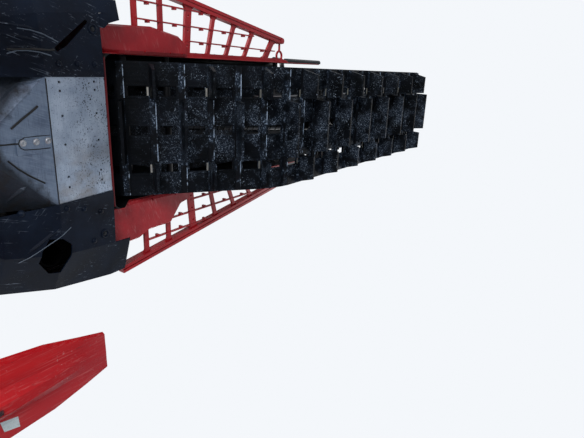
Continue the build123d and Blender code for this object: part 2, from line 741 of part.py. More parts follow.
def keel_under(x, y):
    """Underside of the keel stamping at a place."""
    share = (y - BELLY_FOLD_Y) / (KEEL_FRONT_Y - BELLY_FOLD_Y)
    wide = PAN_INNER + 4
    flat = wide + (42 - wide) * share
    middle = BELLY_FOLD_Z + (KEEL_FRONT_Z - BELLY_FOLD_Z) * share
    edge = BELLY_FOLD_Z + (KEEL_EDGE_Z - BELLY_FOLD_Z) * share
    return middle + (edge - middle) * max(abs(x) - flat, 0) / (wide - flat)


def make_bulkhead():
    """Front frame: keel stamping with two diagonal folds, and open side plates that carry the arms."""
    w, fold, front = PAN_INNER + 4, BELLY_FOLD_Z, BULKHEAD_FRONT_Y
    keel_rows = [
        (BELLY_FOLD_Y - RUN_GAP, [(w, fold), (w - 1, fold), (-w + 1, fold), (-w, fold)]),
        (KEEL_FRONT_Y, [(w, KEEL_EDGE_Z), (42, KEEL_FRONT_Z), (-42, KEEL_FRONT_Z), (-w, KEEL_EDGE_Z)]),
        (front, [(BULKHEAD_HALF, 330), (42, 300), (-42, 300), (-BULKHEAD_HALF, 330)]),
    ]
    keel = skin(keel_rows, -PLATE_THICK)
    side = side_slab([(front, 332), (-600, KEEL_EDGE_Z + 2), (-600, 540), (-740, TOWER_Z), (-860, TOWER_Z),
                      (front, 540)], BULKHEAD_HALF - 5, BULKHEAD_HALF)
    cuts = [box_between((0, 400), (-868, -752), (336, 414))]
    for y, z, radius in ((-668, 430, 36), (-965, 430, 38), (-800, 560, 50)):
        cuts.append(Pos(BULKHEAD_HALF, y, z) * Rot(0, 90, 0) * Cylinder(radius, 40))
    side = side.cut(*cuts)
    _, low, high, z0, z1 = NOSE[-1]
    outline = [(-low + 1, z0 + 1), (low - 1, z0 + 1), (high - 2, z1 - 1), (-high + 2, z1 - 1)]
    front_wall = extrude(cross_face(front, outline), 5, dir=(0, 1, 0)) - Pos(0, front, 440) * Box(150, 40, 90)
    bridge = box_between((-BULKHEAD_HALF, BULKHEAD_HALF), (-860, -740), (TOWER_Z - 6, TOWER_Z))
    slope = (BELLY_FOLD_Z - KEEL_FRONT_Z) / (BELLY_FOLD_Y - KEEL_FRONT_Y)
    ends = [(y, BELLY_FOLD_Z + (y - BELLY_FOLD_Y) * slope) for y in (STRAP_FRONT_Y, BELLY_FOLD_Y - 4)]
    strap = side_slab([(y, z + 1) for y, z in ends] + [(y, z - STRAP_THICK) for y, z in ends[::-1]],
                      -STRAP_HALF, STRAP_HALF)
    folds = [ridge(points, keel_under, 9.0, 5.0) for points in KEEL_FOLDS]
    return keel.fuse(*folds, *both(side), front_wall, bridge, strap)


def tie(a, b, radius):
    """Rod between two points with rounded ends."""
    return rod(a, b, radius).fuse(Pos(*a) * Sphere(radius), Pos(*b) * Sphere(radius))


def make_arm(ball, bush_z, bushes_y):
    """A-arm: an eye round the ski leg and two tubes to the bushes on the front frame."""
    bush_radius = ARM_RADIUS + 3
    eye = Plane(origin=ball, z_dir=AXIS_UP)
    shape = Solid.make_cylinder(LEG_RADIUS + 11, 26, Plane(origin=ball - AXIS_UP * 13, z_dir=AXIS_UP))
    for y in bushes_y:
        inner = Vector(BULKHEAD_HALF + RUN_GAP + bush_radius, y, bush_z)
        shape = shape.fuse(rod(ball, inner, ARM_RADIUS), Pos(*inner) * Rot(90, 0, 0) * Cylinder(bush_radius, 40))
    return shape - eye * Cylinder(LEG_RADIUS + PIN_GAP, 80)


def make_shock(low, high):
    """Coil-over: body, spring sleeve and rod, with a round end at each mount."""
    low, high = Vector(*low), Vector(*high)
    along = (high - low).normalized()
    pieces = [rod(low, high, 9), rod(low + along * 42, high - along * 60, 27), rod(high - along * 62, high - along * 34, 20)]
    ends = [Pos(*p) * Rot(90, 0, 0) * Cylinder(14, 26) for p in (low, high)]
    return pieces[0].fuse(*pieces[1:], *ends)


def make_spindle(side):
    """Forged leg on the steering axis, with the ski hub at its foot and the steering arm ahead."""
    foot, pivot = kingpin(SKI_BOLT_Z), kingpin(STEER_Z)
    leg = rod(foot, kingpin(LEG_TOP_Z), LEG_RADIUS)
    block = rod(foot + AXIS_UP * 10, foot + AXIS_UP * 95, LEG_RADIUS + 5)
    hub = Pos(*foot) * Rot(0, 90, 0) * Cylinder(HUB_RADIUS, 2 * HUB_HALF)
    eye_at = pivot + AXIS_AHEAD * STEER_ARM
    arm = rod(pivot, eye_at, 9)
    eye = Solid.make_cylinder(EYE_RADIUS, EYE_THICK, Plane(origin=eye_at - AXIS_UP * EYE_THICK / 2, z_dir=AXIS_UP))
    pin = rod(eye_at, eye_at + AXIS_UP * side * (ROD_LIFT + 9), STEER_PIN)
    shape = leg.fuse(block, hub, arm, eye, pin)
    shape = shape - Pos(*foot) * Rot(0, 90, 0) * Cylinder(BOLT_RADIUS + PIN_GAP, 200)
    return shape if side > 0 else flip(shape)


def make_post():
    """Steering post with its relay arm at the foot."""
    pivot = post_axis(STEER_Z)
    eye_at = pivot + AXIS_AHEAD * STEER_ARM
    post = rod(post_axis(STEER_Z - 14), post_axis(POST_TOP_Z), POST_RADIUS)
    arm = rod(pivot, eye_at, 9)
    eye = Solid.make_cylinder(EYE_RADIUS, EYE_THICK, Plane(origin=eye_at - AXIS_UP * EYE_THICK / 2, z_dir=AXIS_UP))
    pin = rod(eye_at - AXIS_UP * (ROD_LIFT + 9), eye_at + AXIS_UP * (ROD_LIFT + 9), STEER_PIN)
    riser = Plane(origin=post_axis(POST_TOP_Z), x_dir=(1, 0, 0), z_dir=AXIS_UP) * Pos(0, 0, -30) * Box(70, 40, 60)
    return post.fuse(arm, eye, pin, riser)


def make_tie_rod(side):
    """Straight rod from the steering arm's pin to the relay arm's pin."""
    lift = AXIS_UP * side * ROD_LIFT
    outer = kingpin(STEER_Z, side) + AXIS_AHEAD * STEER_ARM + lift
    inner = post_axis(STEER_Z) + AXIS_AHEAD * STEER_ARM + lift
    shape = rod(outer, inner, ROD_RADIUS)
    for end in (outer, inner):
        ring = Solid.make_cylinder(EYE_RADIUS, 14, Plane(origin=end - AXIS_UP * 7, z_dir=AXIS_UP))
        shape = shape.fuse(ring)
    for end in (outer, inner):
        shape = shape - Solid.make_cylinder(STEER_PIN + PIN_GAP, 60, Plane(origin=end - AXIS_UP * 30, z_dir=AXIS_UP))
    return shape


def bar_points():
    """Handlebar's centre line, left half reversed onto the right."""
    centre = post_axis(POST_TOP_Z) + AXIS_UP * (BAR_RADIUS + RUN_GAP)
    y, z = centre.Y, centre.Z
    half = [(70, y, z), (150, y + 20, z + 34), (390, y + 92, z + 6)]
    return [(-x, b, c) for x, b, c in half[::-1]] + half


def make_handlebar():
    return tube_along(bar_points(), BAR_RADIUS, 40)


def grip_axis():
    """Plane at a grip's outer end, looking inward along the bar."""
    points = [Vector(*p) for p in bar_points()]
    return points[-1], (points[-2] - points[-1]).normalized()


def make_grips():
    end, inward_dir = grip_axis()
    cap = end - inward_dir * 4
    outer = rod(cap, end + inward_dir * GRIP_LENGTH, GRIP_RADIUS)
    bore = rod(end - inward_dir * RUN_GAP, end + inward_dir * (GRIP_LENGTH + 9), BAR_RADIUS + RUN_GAP)
    return both(outer - bore)


def make_controls():
    """Brake lever and throttle block: clamps round the bar with blades ahead of the grips."""
    end, inward_dir = grip_axis()
    start, stop = end + inward_dir * (GRIP_LENGTH + 4), end + inward_dir * (GRIP_LENGTH + 62)
    clamp = rod(start, stop, 22)
    blade_from = (start + stop) * 0.5 + Vector(0, -24, 0)
    blade = tie(blade_from, blade_from - inward_dir * 120 + Vector(0, -26, 0), 6)
    stub = rod((start + stop) * 0.5, blade_from, 8)
    shape = clamp.fuse(stub, blade) - rod(start - inward_dir * 20, stop + inward_dir * 20, BAR_RADIUS + RUN_GAP)
    return both(shape)


# Ski stations from tail to tip: place, half width, bottom height, keel depth, keel half width, lip height
SKI = [
    (SKI_TAIL_Y, 48, 34, 0.5, 20, 8),
    (-560, 62, 31, 1, 24, 12),
    (-640, 80, 30, 10, 30, 18),
    (-740, SKI_HALF, 30, 22, 34, 24),
    (-1150, SKI_HALF, 30, 22, 34, 28),
    (-1330, 86, 34, 22, 30, 28),
    (-1450, 78, 62, 16, 24, 24),
    (-1545, 64, 116, 8, 16, 18),
    (SKI_TIP_Y, 46, 168, 2, 10, 12),
]
SKI_BASE = 10.0
RUNNER = ((-752, 4.0, 7.7), (-776, 0.0, 7.7), (-1149, 0.0, 7.7), (-1325, 5.0, 11.4))


def make_ski():
    """Ski with a rounded keel and raised lips, and the saddle that holds its bolt."""
    faces = []
    for y, half, z, keel, keel_half, lip in SKI:
        inner = half - 12
        outline = [(half, z + lip), (half - 3, z), (keel_half, z), (keel_half * 0.35, z - keel),
                   (-keel_half * 0.35, z - keel), (-keel_half, z), (-half + 3, z), (-half, z + lip),
                   (-half + 8, z + lip), (-inner, z + SKI_BASE), (inner, z + SKI_BASE), (half - 8, z + lip)]
        faces.append(cross_face(y, [(SKI_X + x, h) for x, h in outline]))
    blade = loft(faces, ruled=True)
    crest = [(-1330, 40), (-1330, 43), (-1290, 53), (-700, 51), (-650, 39), (-650, 36)]
    ribs = [side_slab(crest, SKI_X + x, SKI_X + x + 6) for x in (-58, 52)]
    deck = 30 + SKI_BASE - 2
    cheek = side_slab([(SKI_BOLT_Y - 90, deck), (SKI_BOLT_Y + 90, deck), (SKI_BOLT_Y + 60, deck + 26),
                       (SKI_BOLT_Y + 22, SKI_BOLT_Z + 18), (SKI_BOLT_Y - 22, SKI_BOLT_Z + 18),
                       (SKI_BOLT_Y - 60, deck + 26)], HUB_HALF + SADDLE_GAP, HUB_HALF + SADDLE_GAP + SADDLE_THICK)
    cheek = Pos(SKI_X, 0, 0) * cheek
    other = Pos(SKI_X, 0, 0) * flip(Pos(-SKI_X, 0, 0) * cheek)
    bolt = Pos(SKI_X, SKI_BOLT_Y, SKI_BOLT_Z) * Rot(0, 90, 0) * Cylinder(BOLT_RADIUS, 2 * HUB_HALF + 48)
    return blade.fuse(*ribs, cheek, other, bolt)


def make_runner():
    """Steel wear bar under the keel: a square bar that bends up at both ends."""
    low = [(y, z) for y, z, _ in RUNNER]
    high = [(y, z) for y, _, z in RUNNER]
    return Pos(SKI_X, 0, 0) * side_slab(low + high[::-1], -5, 5)


def make_loop(front):
    """Ski handle: a bent tube from the tip back to the deck."""
    tip_z = SKI[-1][2] + SKI_BASE
    reach = front + 8
    points = [(SKI_X, SKI_TIP_Y + 132, tip_z - 80), (SKI_X, SKI_TIP_Y + 112, tip_z + 22),
              (SKI_X, reach, tip_z + 58), (SKI_X, reach, tip_z + 18), (SKI_X, SKI_TIP_Y + 20, tip_z - 1)]
    return tube_along(points, 8, 14)


def make_rails():
    """Slide rails: bars that follow the belt's floor and curl up at the front."""
    cy, cz, r = RAIL_NOSE_Y, RAIL_NOSE_Z, RAIL_NOSE_RADIUS - RUN_GAP
    turn = atan2(-NORMALS[1][0], -NORMALS[1][1])
    angles = [turn * k / 6 for k in range(7)]
    curve = [(cy - r * sin(a), cz - r * cos(a)) for a in angles]
    upper = [(cy - (r - RAIL_TALL) * sin(a), cz - (r - RAIL_TALL) * cos(a)) for a in angles]
    floor = cz - r
    tail = [(REAR_AXLE_Y + 34, floor + 46), (REAR_AXLE_Y + 34, floor + 120), (REAR_AXLE_Y - 30, floor + 128),
            (REAR_AXLE_Y - 130, floor + RAIL_TALL)]
    outline = [(REAR_AXLE_Y - 10, floor), *curve, *upper[::-1], *tail[::-1], tail[0]]
    rail = side_slab(outline[:-1], RAIL_X - RAIL_WIDTH / 2, RAIL_X + RAIL_WIDTH / 2)
    holes = [FRONT_FOOT, MIDDLE_FOOT, SHOCK_FOOT, REAR_FOOT, (REAR_AXLE_Y, REAR_AXLE_Z, AXLE_RADIUS)]
    holes += [(y, BELT_FLOOR + RUN_GAP + RAIL_WHEEL_RADIUS, 9.0) for y in RAIL_WHEELS]
    cuts = [Pos(0, y, z) * Rot(0, 90, 0) * Cylinder(radius + RUN_GAP, 400) for y, z, radius in holes]
    return both(rail.cut(*cuts))


def shaft(spec, half):
    y, z, radius = spec
    return rod((-half, y, z), (half, y, z), radius)


def leg_pair(x, a, b, radius):
    return both(rod((x, a[0], a[1]), (x, b[0], b[1]), radius))


def shock_head():
    """Cross tube on the rear arm that holds the rear shock: place and height."""
    return tuple(a + (b - a) * SHOCK_SHARE for a, b in zip(UPPER_SHAFT[:2], REAR_FOOT[:2]))


def make_skid_arms():
    """Front and rear suspension arms with their shafts, and the two shock shafts, one solid each."""
    wall, foot = TUNNEL_HALF - SHEET - RUN_GAP, RAIL_X + 24
    front = shaft(FRONT_SHAFT, wall).fuse(shaft(FRONT_FOOT, foot), *leg_pair(62, FRONT_SHAFT, FRONT_FOOT, 13))
    rear = shaft(UPPER_SHAFT, wall).fuse(shaft(REAR_FOOT, foot), shaft((*shock_head(), 9.0), 46),
                                         *leg_pair(46, UPPER_SHAFT, REAR_FOOT, 13))
    return [front, rear, shaft(MIDDLE_FOOT, foot), shaft(SHOCK_FOOT, foot)]


def make_skid_shocks():
    """Two shocks between the rails, with an eye round the shaft at each end."""
    made = []
    for top, foot in ((FRONT_SHAFT, MIDDLE_FOOT), ((*shock_head(), 9.0), SHOCK_FOOT)):
        low, high = Vector(0, *foot[:2]), Vector(0, *top[:2])
        along = (high - low).normalized()
        body = rod(low, high, 8).fuse(rod(low + along * 45, high - along * 50, 26))
        body = body.fuse(*[Pos(*p) * Rot(0, 90, 0) * Cylinder(19, 30) for p in (low, high)])
        cuts = [shaft((y, z, radius + RUN_GAP), 50) for y, z, radius in (top, foot)]
        made.append(body.cut(*cuts))
    return made


def make_wheels():
    """Idler wheels at the tail and beside the rails, on their axles."""
    made = [shaft((REAR_AXLE_Y, REAR_AXLE_Z, AXLE_RADIUS), 176)]
    tail = [wheel(s * x, REAR_AXLE_Y, REAR_AXLE_Z, REAR_WHEEL_RADIUS, WHEEL_WIDE) for x in REAR_WHEELS_X for s in (1, -1)]
    z = BELT_FLOOR + RUN_GAP + RAIL_WHEEL_RADIUS
    groups = [made[0].fuse(*tail)]
    for y in RAIL_WHEELS:
        pair = [wheel(s * RAIL_WHEEL_X, y, z, RAIL_WHEEL_RADIUS, WHEEL_WIDE) for s in (1, -1)]
        groups.append(shaft((y, z, 9.0), RAIL_WHEEL_X + 14).fuse(*pair))
    return groups


def make_upper_wheels():
    made = []
    for x in UPPER_WHEELS_X:
        one = wheel(x, UPPER_WHEEL_Y, UPPER_WHEEL_Z, UPPER_WHEEL_RADIUS, WHEEL_WIDE)
        one = one - Pos(x, UPPER_WHEEL_Y, UPPER_WHEEL_Z) * Rot(0, 90, 0) * Cylinder(UPPER_SHAFT[2] + RUN_GAP, 90)
        made += both(one)
    return made


def make_drive():
    """Drive shaft with two pairs of toothed sprockets."""
    pieces = [shaft((DRIVER_Y, DRIVER_Z, 15.0), TUNNEL_HALF - SHEET - RUN_GAP)]
    for x in SPROCKETS_X:
        for side in (1, -1):
            disc = Cylinder(DRIVER_RADIUS - 9, 12)
            teeth = [Rot(0, 0, 45 * k) * Pos(DRIVER_RADIUS - 12, 0, 0) * Box(23, 16, 12) for k in range(8)]
            limit = Cylinder(DRIVER_RADIUS - RUN_GAP, 12)
            sprocket = disc.fuse(*teeth) & limit
            pieces.append(Pos(side * x, DRIVER_Y, DRIVER_Z) * Rot(0, 90, 0) * sprocket)
    return pieces[0].fuse(*pieces[1:])


def upright(rows):
    """Solid lofted through (y, points) sections."""
    return loft([cross_face(y, points) for y, points in rows], ruled=True)


def make_tank():
    floor = TUNNEL_TOP + RUN_GAP
    rows = []
    for y, low, mid, mid_z, high, top in ((TANK_FRONT, 150, TANK_WAIST, 760, TANK_CROWN, 930), (-60, 166, 172, 740, 96, 898),
                                          (TANK_REAR, 158, 160, 720, 104, 852)):
        rows.append((y, [(low, floor), (mid, mid_z), (high, top), (-high, top), (-mid, mid_z), (-low, floor)]))
    cap = Pos(0, -150, 912) * Rot(-10, 0, 0) * Cylinder(42, 36)
    tank = upright(rows)
    crown = [e for e in tank.edges() if e.center().Z > 860 and abs(e.center().X) > 60 and e.length > 100]
    return fillet(crown, 18).fuse(cap)


def make_seat():
    floor = TUNNEL_TOP + RUN_GAP
    rows = []
    for y, low, high, top in ((SEAT_FRONT, 150, 118, 850), (210, 152, 124, 842), (400, 152, 126, 828),
                              (560, 144, 118, 822), (SEAT_REAR, 132, 100, 762)):
        rows.append((y, [(low, floor), (low + 6, floor + 60), (high, top), (-high, top), (-low - 6, floor + 60),
                         (-low, floor)]))
    cushion = upright(rows)
    rear = [e for e in cushion.edges() if e.center().Z > 750 and abs(e.center().X) < 1 and e.center().Y > SEAT_REAR - 1]
    return fillet(rear, 30)


def crown_z(x, y):
    """Height of the body's top at a place, between its crown edge and shoulder."""
    crown, edge, shoulder, _, _ = body_row(y)
    if abs(x) <= edge[0]:
        return crown + (edge[1] - crown) * abs(x) / edge[0]
    return edge[1] + (shoulder[1] - edge[1]) * (abs(x) - edge[0]) / (shoulder[0] - edge[0])


def make_windshield():
    """Low clear screen standing on the console: place, rise of its middle, half width, drop of its sides."""
    foot_y, thick = -562, 4.5
    base = crown_z(0, foot_y)
    faces = []
    for y, rise, half in ((foot_y, 0, 236), (-502, 78, 216), (-454, 152, 176)):
        flat = half * 0.62 if rise else body_row(y)[1][0]
        left = [(half, rise - 34), (flat, rise), (0, rise)]
        if rise:
            left = [(x, base + z) for x, z in left]
        else:
            left = [(x, crown_z(x, y) + thick + RUN_GAP) for x, _ in left]
        outline = left + [(-x, z) for x, z in left[-2::-1]]
        narrow = 0.985 if rise else 1.0
        faces.append(cross_face(y, outline + [(x * narrow, z - thick) for x, z in outline[::-1]]))
    return loft(faces, ruled=True)


def nose_edge(y):
    """Top edge of the nose cover at y, straight between its stations."""
    for a, b in zip(NOSE, NOSE[1:]):
        if y <= b[0]:
            break
    share = (y - a[0]) / (b[0] - a[0])
    return a[2] + (b[2] - a[2]) * share, a[4] + (b[4] - a[4]) * share


def make_headlights():
    """Lenses that fill the space between hood and nose cover on each side."""
    rows = []
    for y, swell in ((-1300, 4), (-1215, 22), (-1132, 42)):
        low_x, low_z = nose_edge(y)
        high_x, high_z = body_row(y)[2]
        middle = ((low_x + high_x) / 2 + swell, (low_z + high_z) / 2 + 2)
        rows.append((y, [(low_x - 1, low_z + RUN_GAP), middle, (high_x + 2, high_z - PANEL_GAP)]))
    return both(skin(rows, BODY_THICK))


def make_gauge():
    front, rear = -474, -448
    low = [(front, crown_z(0, front) + RUN_GAP), (rear, crown_z(0, rear) + RUN_GAP)]
    return side_slab([*low, (rear + 20, low[1][1] + 66), (front + 20, low[0][1] + 72)], -72, 72)


def make_front_bumper():
    y0, z = NOSE[0][0] - RUN_GAP, 552
    return tube_along([(100, y0, z), (100, y0 - 56, z), (-100, y0 - 56, z), (-100, y0, z)], 10, 24)


def make_rear_bumper():
    x = TUNNEL_HALF + RUN_GAP + 12
    return tube_along([(x, 810, 520), (x, 1006, 610), (-x, 1006, 610), (-x, 810, 520)], 12, 50)


def make_snow_flap():
    under = TUNNEL_TOP - SHEET - RUN_GAP
    rear = TUNNEL_REAR_Y
    upper = [(rear - 54, under), (rear - 14, under), (rear - 4, under - 45), (rear + 256, under - 170)]
    lower = [(rear + 253, under - 175), (rear - 9, under - 49), (rear - 18, under - 5), (rear - 54, under - 5)]
    return side_slab(upper + lower, -190, 190)


def make_edge_guards():
    """Plastic strips along the rear of the tunnel's lower edges."""
    x0 = TUNNEL_HALF + RUN_GAP
    bar = box_between((x0, x0 + 16), (RAIL_REAR_Y + 50, TUNNEL_REAR_Y + 8), (BOARD_Z - 2, BOARD_Z + 26))
    return both(chamfer(bar.edges().filter_by(Axis.Y).group_by(Axis.X)[-1], 6))


def make_tail_light():
    return box_between((-110, 110), (TUNNEL_REAR_Y + RUN_GAP, TUNNEL_REAR_Y + 24), (TUNNEL_TOP - 38, TUNNEL_TOP))


def make_exhaust():
    """Muffler block with its outlet pipe down to the hole in the belly pan."""
    box = box_between((EXHAUST_X - 85, EXHAUST_X + 85), (-540, -335), (420, 552))
    pipe = rod((EXHAUST_X, EXHAUST_Y, EXHAUST_END_Z), (EXHAUST_X, EXHAUST_Y, 426), EXHAUST_RADIUS)
    joint = rod((-ENGINE_X - RUN_GAP, EXHAUST_Y, 480), (EXHAUST_X + 60, EXHAUST_Y, 480), 22)
    bore = rod((EXHAUST_X, EXHAUST_Y, EXHAUST_END_Z - 10), (EXHAUST_X, EXHAUST_Y, 412), EXHAUST_RADIUS - 4)
    return box.fuse(pipe, joint) - bore


def make_engine():
    """Engine as one plain block behind the steering post, with two feet on the belly plate."""
    rear, bottom, kink = DRIVER_Y - TUNNEL_NOSE_RADIUS - 14, 292, -430
    front = post_axis(ENGINE_TOP).Y + POST_RADIUS / cos(radians(CASTER)) + 14
    block = side_slab([(rear, bottom + 8), (kink, bottom), (front, bottom), (front, ENGINE_TOP), (rear, ENGINE_TOP)],
                      -ENGINE_X, ENGINE_X)
    foot = plate_z(kink + 30) + PLATE_THICK + RUN_GAP
    feet = [box_between((s * 90 - 20, s * 90 + 20), (kink, kink + 30), (foot, bottom + 8)) for s in (1, -1)]
    return block.fuse(*feet)


def main():
    track = make_track()
    reach = track.bounding_box().max.Y
    save("track", track)
    mount = [Pos(x, y, TUNNEL_TOP) * Cylinder(MOUNT_HOLE / 2, 40) for x in MOUNT_X for y in MOUNT_Y]
    save("tunnel", make_tunnel().cut(*mount))
    board = make_board()
    save("running_boards", *both(board))
    save("footwells", make_footwell(WELL_LEFT), flip(make_footwell(WELL_RIGHT)))
    save("belly_plate", make_belly_plate())
    save("bulkhead", make_bulkhead())
    pan = make_pan()
    save("belly_pans", cut_vent(pan), flip(cut_outlet(pan)))
    save("hood", make_hood())
    save("console", make_console())
    save("dash_panel", make_dash())
    save("side_panels", *both(make_side_panel()))
    save("vent_inserts", *both(make_vent_insert()))
    save("nose_cover", make_nose())
    save("headlights", *make_headlights())
    save("windshield", make_windshield())
    save("gauge", make_gauge())
    save("fuel_tank", make_tank())
    save("seat", make_seat())
    save("engine", make_engine())
    save("exhaust", make_exhaust())
    save("bumpers", make_front_bumper(), make_rear_bumper())
    save("tail_light", make_tail_light())
    save("snow_flap", make_snow_flap())
    save("edge_guards", *make_edge_guards())
    save("slide_rails", *make_rails())
    save("skid_arms", *make_skid_arms())
    save("skid_shocks", *make_skid_shocks())
    save("idler_wheels", *make_wheels(), *make_upper_wheels())
    save("drive_shaft", make_drive())
    lower = make_arm(kingpin(LOWER_BALL_Z), LOWER_ARM_Z, LOWER_BUSHES_Y)
    upper = make_arm(kingpin(UPPER_BALL_Z), UPPER_ARM_Z, UPPER_BUSHES_Y)
    shock = make_shock((340, -794, 308), (BULKHEAD_HALF + RUN_GAP + 14, -760, 680))
    save("ski_arms", lower, upper, flip(lower), flip(upper))
    save("front_shocks", *both(shock))
    save("steering_post", make_post())
    save("handlebar", make_handlebar())
    save("grips", *make_grips())
    save("hand_controls", *make_controls())
    ski, runner, loop = make_ski(), make_runner(), make_loop(-reach)
    for side, turn in (("left", lambda shape: shape), ("right", flip)):
        sign = 1 if side == "left" else -1
        save(f"spindle_{side}", make_spindle(sign))
        save(f"tie_rod_{side}", make_tie_rod(sign))
        save(f"ski_{side}", turn(ski))
        save(f"ski_runner_{side}", turn(runner))
        save(f"ski_loop_{side}", turn(loop))
    print("pitch", round(PITCH, 2), "reach", round(reach, 2))


main()
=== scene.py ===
"""Finishes, fittings, padded seat and studio of a mountain snowmobile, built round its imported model.

Lengths are metres in the model's own frame: +X is the rider's left, +Y the tail and +Z up.
A place or size that is read off the machine is written in millimetres, and mm() or MM turns it to metres.
"""

import math
from typing import NamedTuple

import bmesh
import bpy
from bpy.props import FloatProperty, IntProperty, PointerProperty, StringProperty
from mathutils import Matrix, Vector
from mathutils.bvhtree import BVHTree


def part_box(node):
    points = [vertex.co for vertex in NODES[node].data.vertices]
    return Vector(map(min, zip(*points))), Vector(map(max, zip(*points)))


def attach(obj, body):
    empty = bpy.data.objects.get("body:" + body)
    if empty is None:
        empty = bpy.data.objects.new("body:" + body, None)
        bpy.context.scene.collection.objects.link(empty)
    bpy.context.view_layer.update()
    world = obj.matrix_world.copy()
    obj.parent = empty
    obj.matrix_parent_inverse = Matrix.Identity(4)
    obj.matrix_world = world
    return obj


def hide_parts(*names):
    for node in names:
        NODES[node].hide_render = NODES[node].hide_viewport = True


bl_info = {
    "name": "Snowmobile finish",
    "version": (1, 0, 0),
    "blender": (4, 5, 0),
    "location": "3D View > Sidebar > Snowmobile",
    "description": "Finishes, small fittings, padded seat and studio for a mountain snowmobile",
    "category": "Object",
}

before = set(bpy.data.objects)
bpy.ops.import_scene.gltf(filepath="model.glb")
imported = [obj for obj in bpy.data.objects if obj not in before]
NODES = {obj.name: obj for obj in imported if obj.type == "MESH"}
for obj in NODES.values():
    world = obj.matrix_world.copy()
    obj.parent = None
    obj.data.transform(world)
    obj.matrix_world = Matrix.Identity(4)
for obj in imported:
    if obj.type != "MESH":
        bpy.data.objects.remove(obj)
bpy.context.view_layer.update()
MM = 0.001
UP, DOWN, LEFT, RIGHT, AHEAD, BACK = (0, 0, 1), (0, 0, -1), (1, 0, 0), (-1, 0, 0), (0, -1, 0), (0, 1, 0)
SIDES = ((1, "left"), (-1, "right"))


def mm(x, y, z):
    """Place in metres from millimetres."""
    return Vector((x, y, z)) * MM


# Materials


class Mask(NamedTuple):
    """Patches of noise this many millimetres across: 0 at low to 1 at high, turned about Z and drawn out."""

    size: float
    low: float
    high: float
    turn: float = 0.0
    drawn: tuple = (1, 1, 1)
    detail: float = 3.0


def linear(hex_colour):
    """Linear RGBA of an sRGB hex colour."""
    parts = [int(hex_colour[i:i + 2], 16) / 255 for i in (1, 3, 5)]
    return (*[c / 12.92 if c <= 0.04045 else ((c + 0.055) / 1.055) ** 2.4 for c in parts], 1.0)


def per_mm(size):
    """Pattern scale, in repeats per metre, for a feature this many millimetres across."""
    return 1000.0 / size


def add(tree, kind, inputs=None, out=0, **settings):
    """Adds a node and gives its output; an input takes a value, a hex colour, an output or a list of them."""
    node = tree.nodes.new(kind)
    for name, value in settings.items():
        setattr(node, name, value)
    for key, value in (inputs or {}).items():
        for one in value if isinstance(value, list) else [value]:
            if isinstance(one, bpy.types.NodeSocket):
                tree.links.new(one, node.inputs[key])
            else:
                node.inputs[key].default_value = linear(one) if str(one).startswith("#") else one
    return node.outputs if out is None else node.outputs[out]


def bare_tree(owner):
    """Empty shader tree of a new material or world."""
    owner.use_nodes = True
    owner.node_tree.nodes.clear()
    return owner.node_tree


def blotches(tree, place, mask):
    """The patches of a mask, from 0 to 1."""
    if mask.turn or mask.drawn != (1, 1, 1):
        turned = {"Vector": place, "Rotation": (0, 0, mask.turn), "Scale": mask.drawn}
        place = add(tree, "ShaderNodeMapping", turned, vector_type="TEXTURE")
    noise = {"Vector": place, "Scale": per_mm(mask.size), "Detail": mask.detail, "Roughness": 0.6}
    value = add(tree, "ShaderNodeTexNoise", noise)
    return add(tree, "ShaderNodeMapRange", {"Value": value, "From Min": mask.low, "From Max": mask.high})


def material(name, base, masks, layers, rough, bumps, shader, extra=None):
    """Material that masks of the Object coordinate paint.

    A layer over the base is its colour, its share and the masks that are multiplied together. Rough is a
    number, or a mask with the roughness at its two ends. A bump is a mask, its depth in millimetres and its
    strength. The shader holds the other inputs, and extra gives the masks that are no plain noise.
    """
    made = bpy.data.materials.new(name)
    tree = bare_tree(made)
    place = add(tree, "ShaderNodeTexCoord", out="Object")
    found = {label: blotches(tree, place, mask) for label, mask in masks.items()}
    if extra:
        found |= extra(tree, place, found)
    for colour, share, first, *others in layers:
        cover = found[first]
        for factor in (*(found[label] for label in others), share):
            cover = add(tree, "ShaderNodeMath", {0: cover, 1: factor}, operation="MULTIPLY")
        base = add(tree, "ShaderNodeMix", {0: cover, 6: base, 7: colour}, out=2, data_type="RGBA")
    if isinstance(rough, tuple):
        label, low, high = rough
        rough = add(tree, "ShaderNodeMapRange", {0: found[label], 3: low, 4: high})
    bump = {}
    for label, depth, strength in bumps:
        bump |= {"Height": found[label], "Distance": depth * MM, "Strength": strength}
        bump["Normal"] = add(tree, "ShaderNodeBump", bump)
    inputs = {"Base Color": base, "Roughness": rough, "Normal": bump["Normal"], **shader}
    add(tree, "ShaderNodeOutputMaterial", {"Surface": add(tree, "ShaderNodeBsdfPrincipled", inputs)}, out=None)
    return made


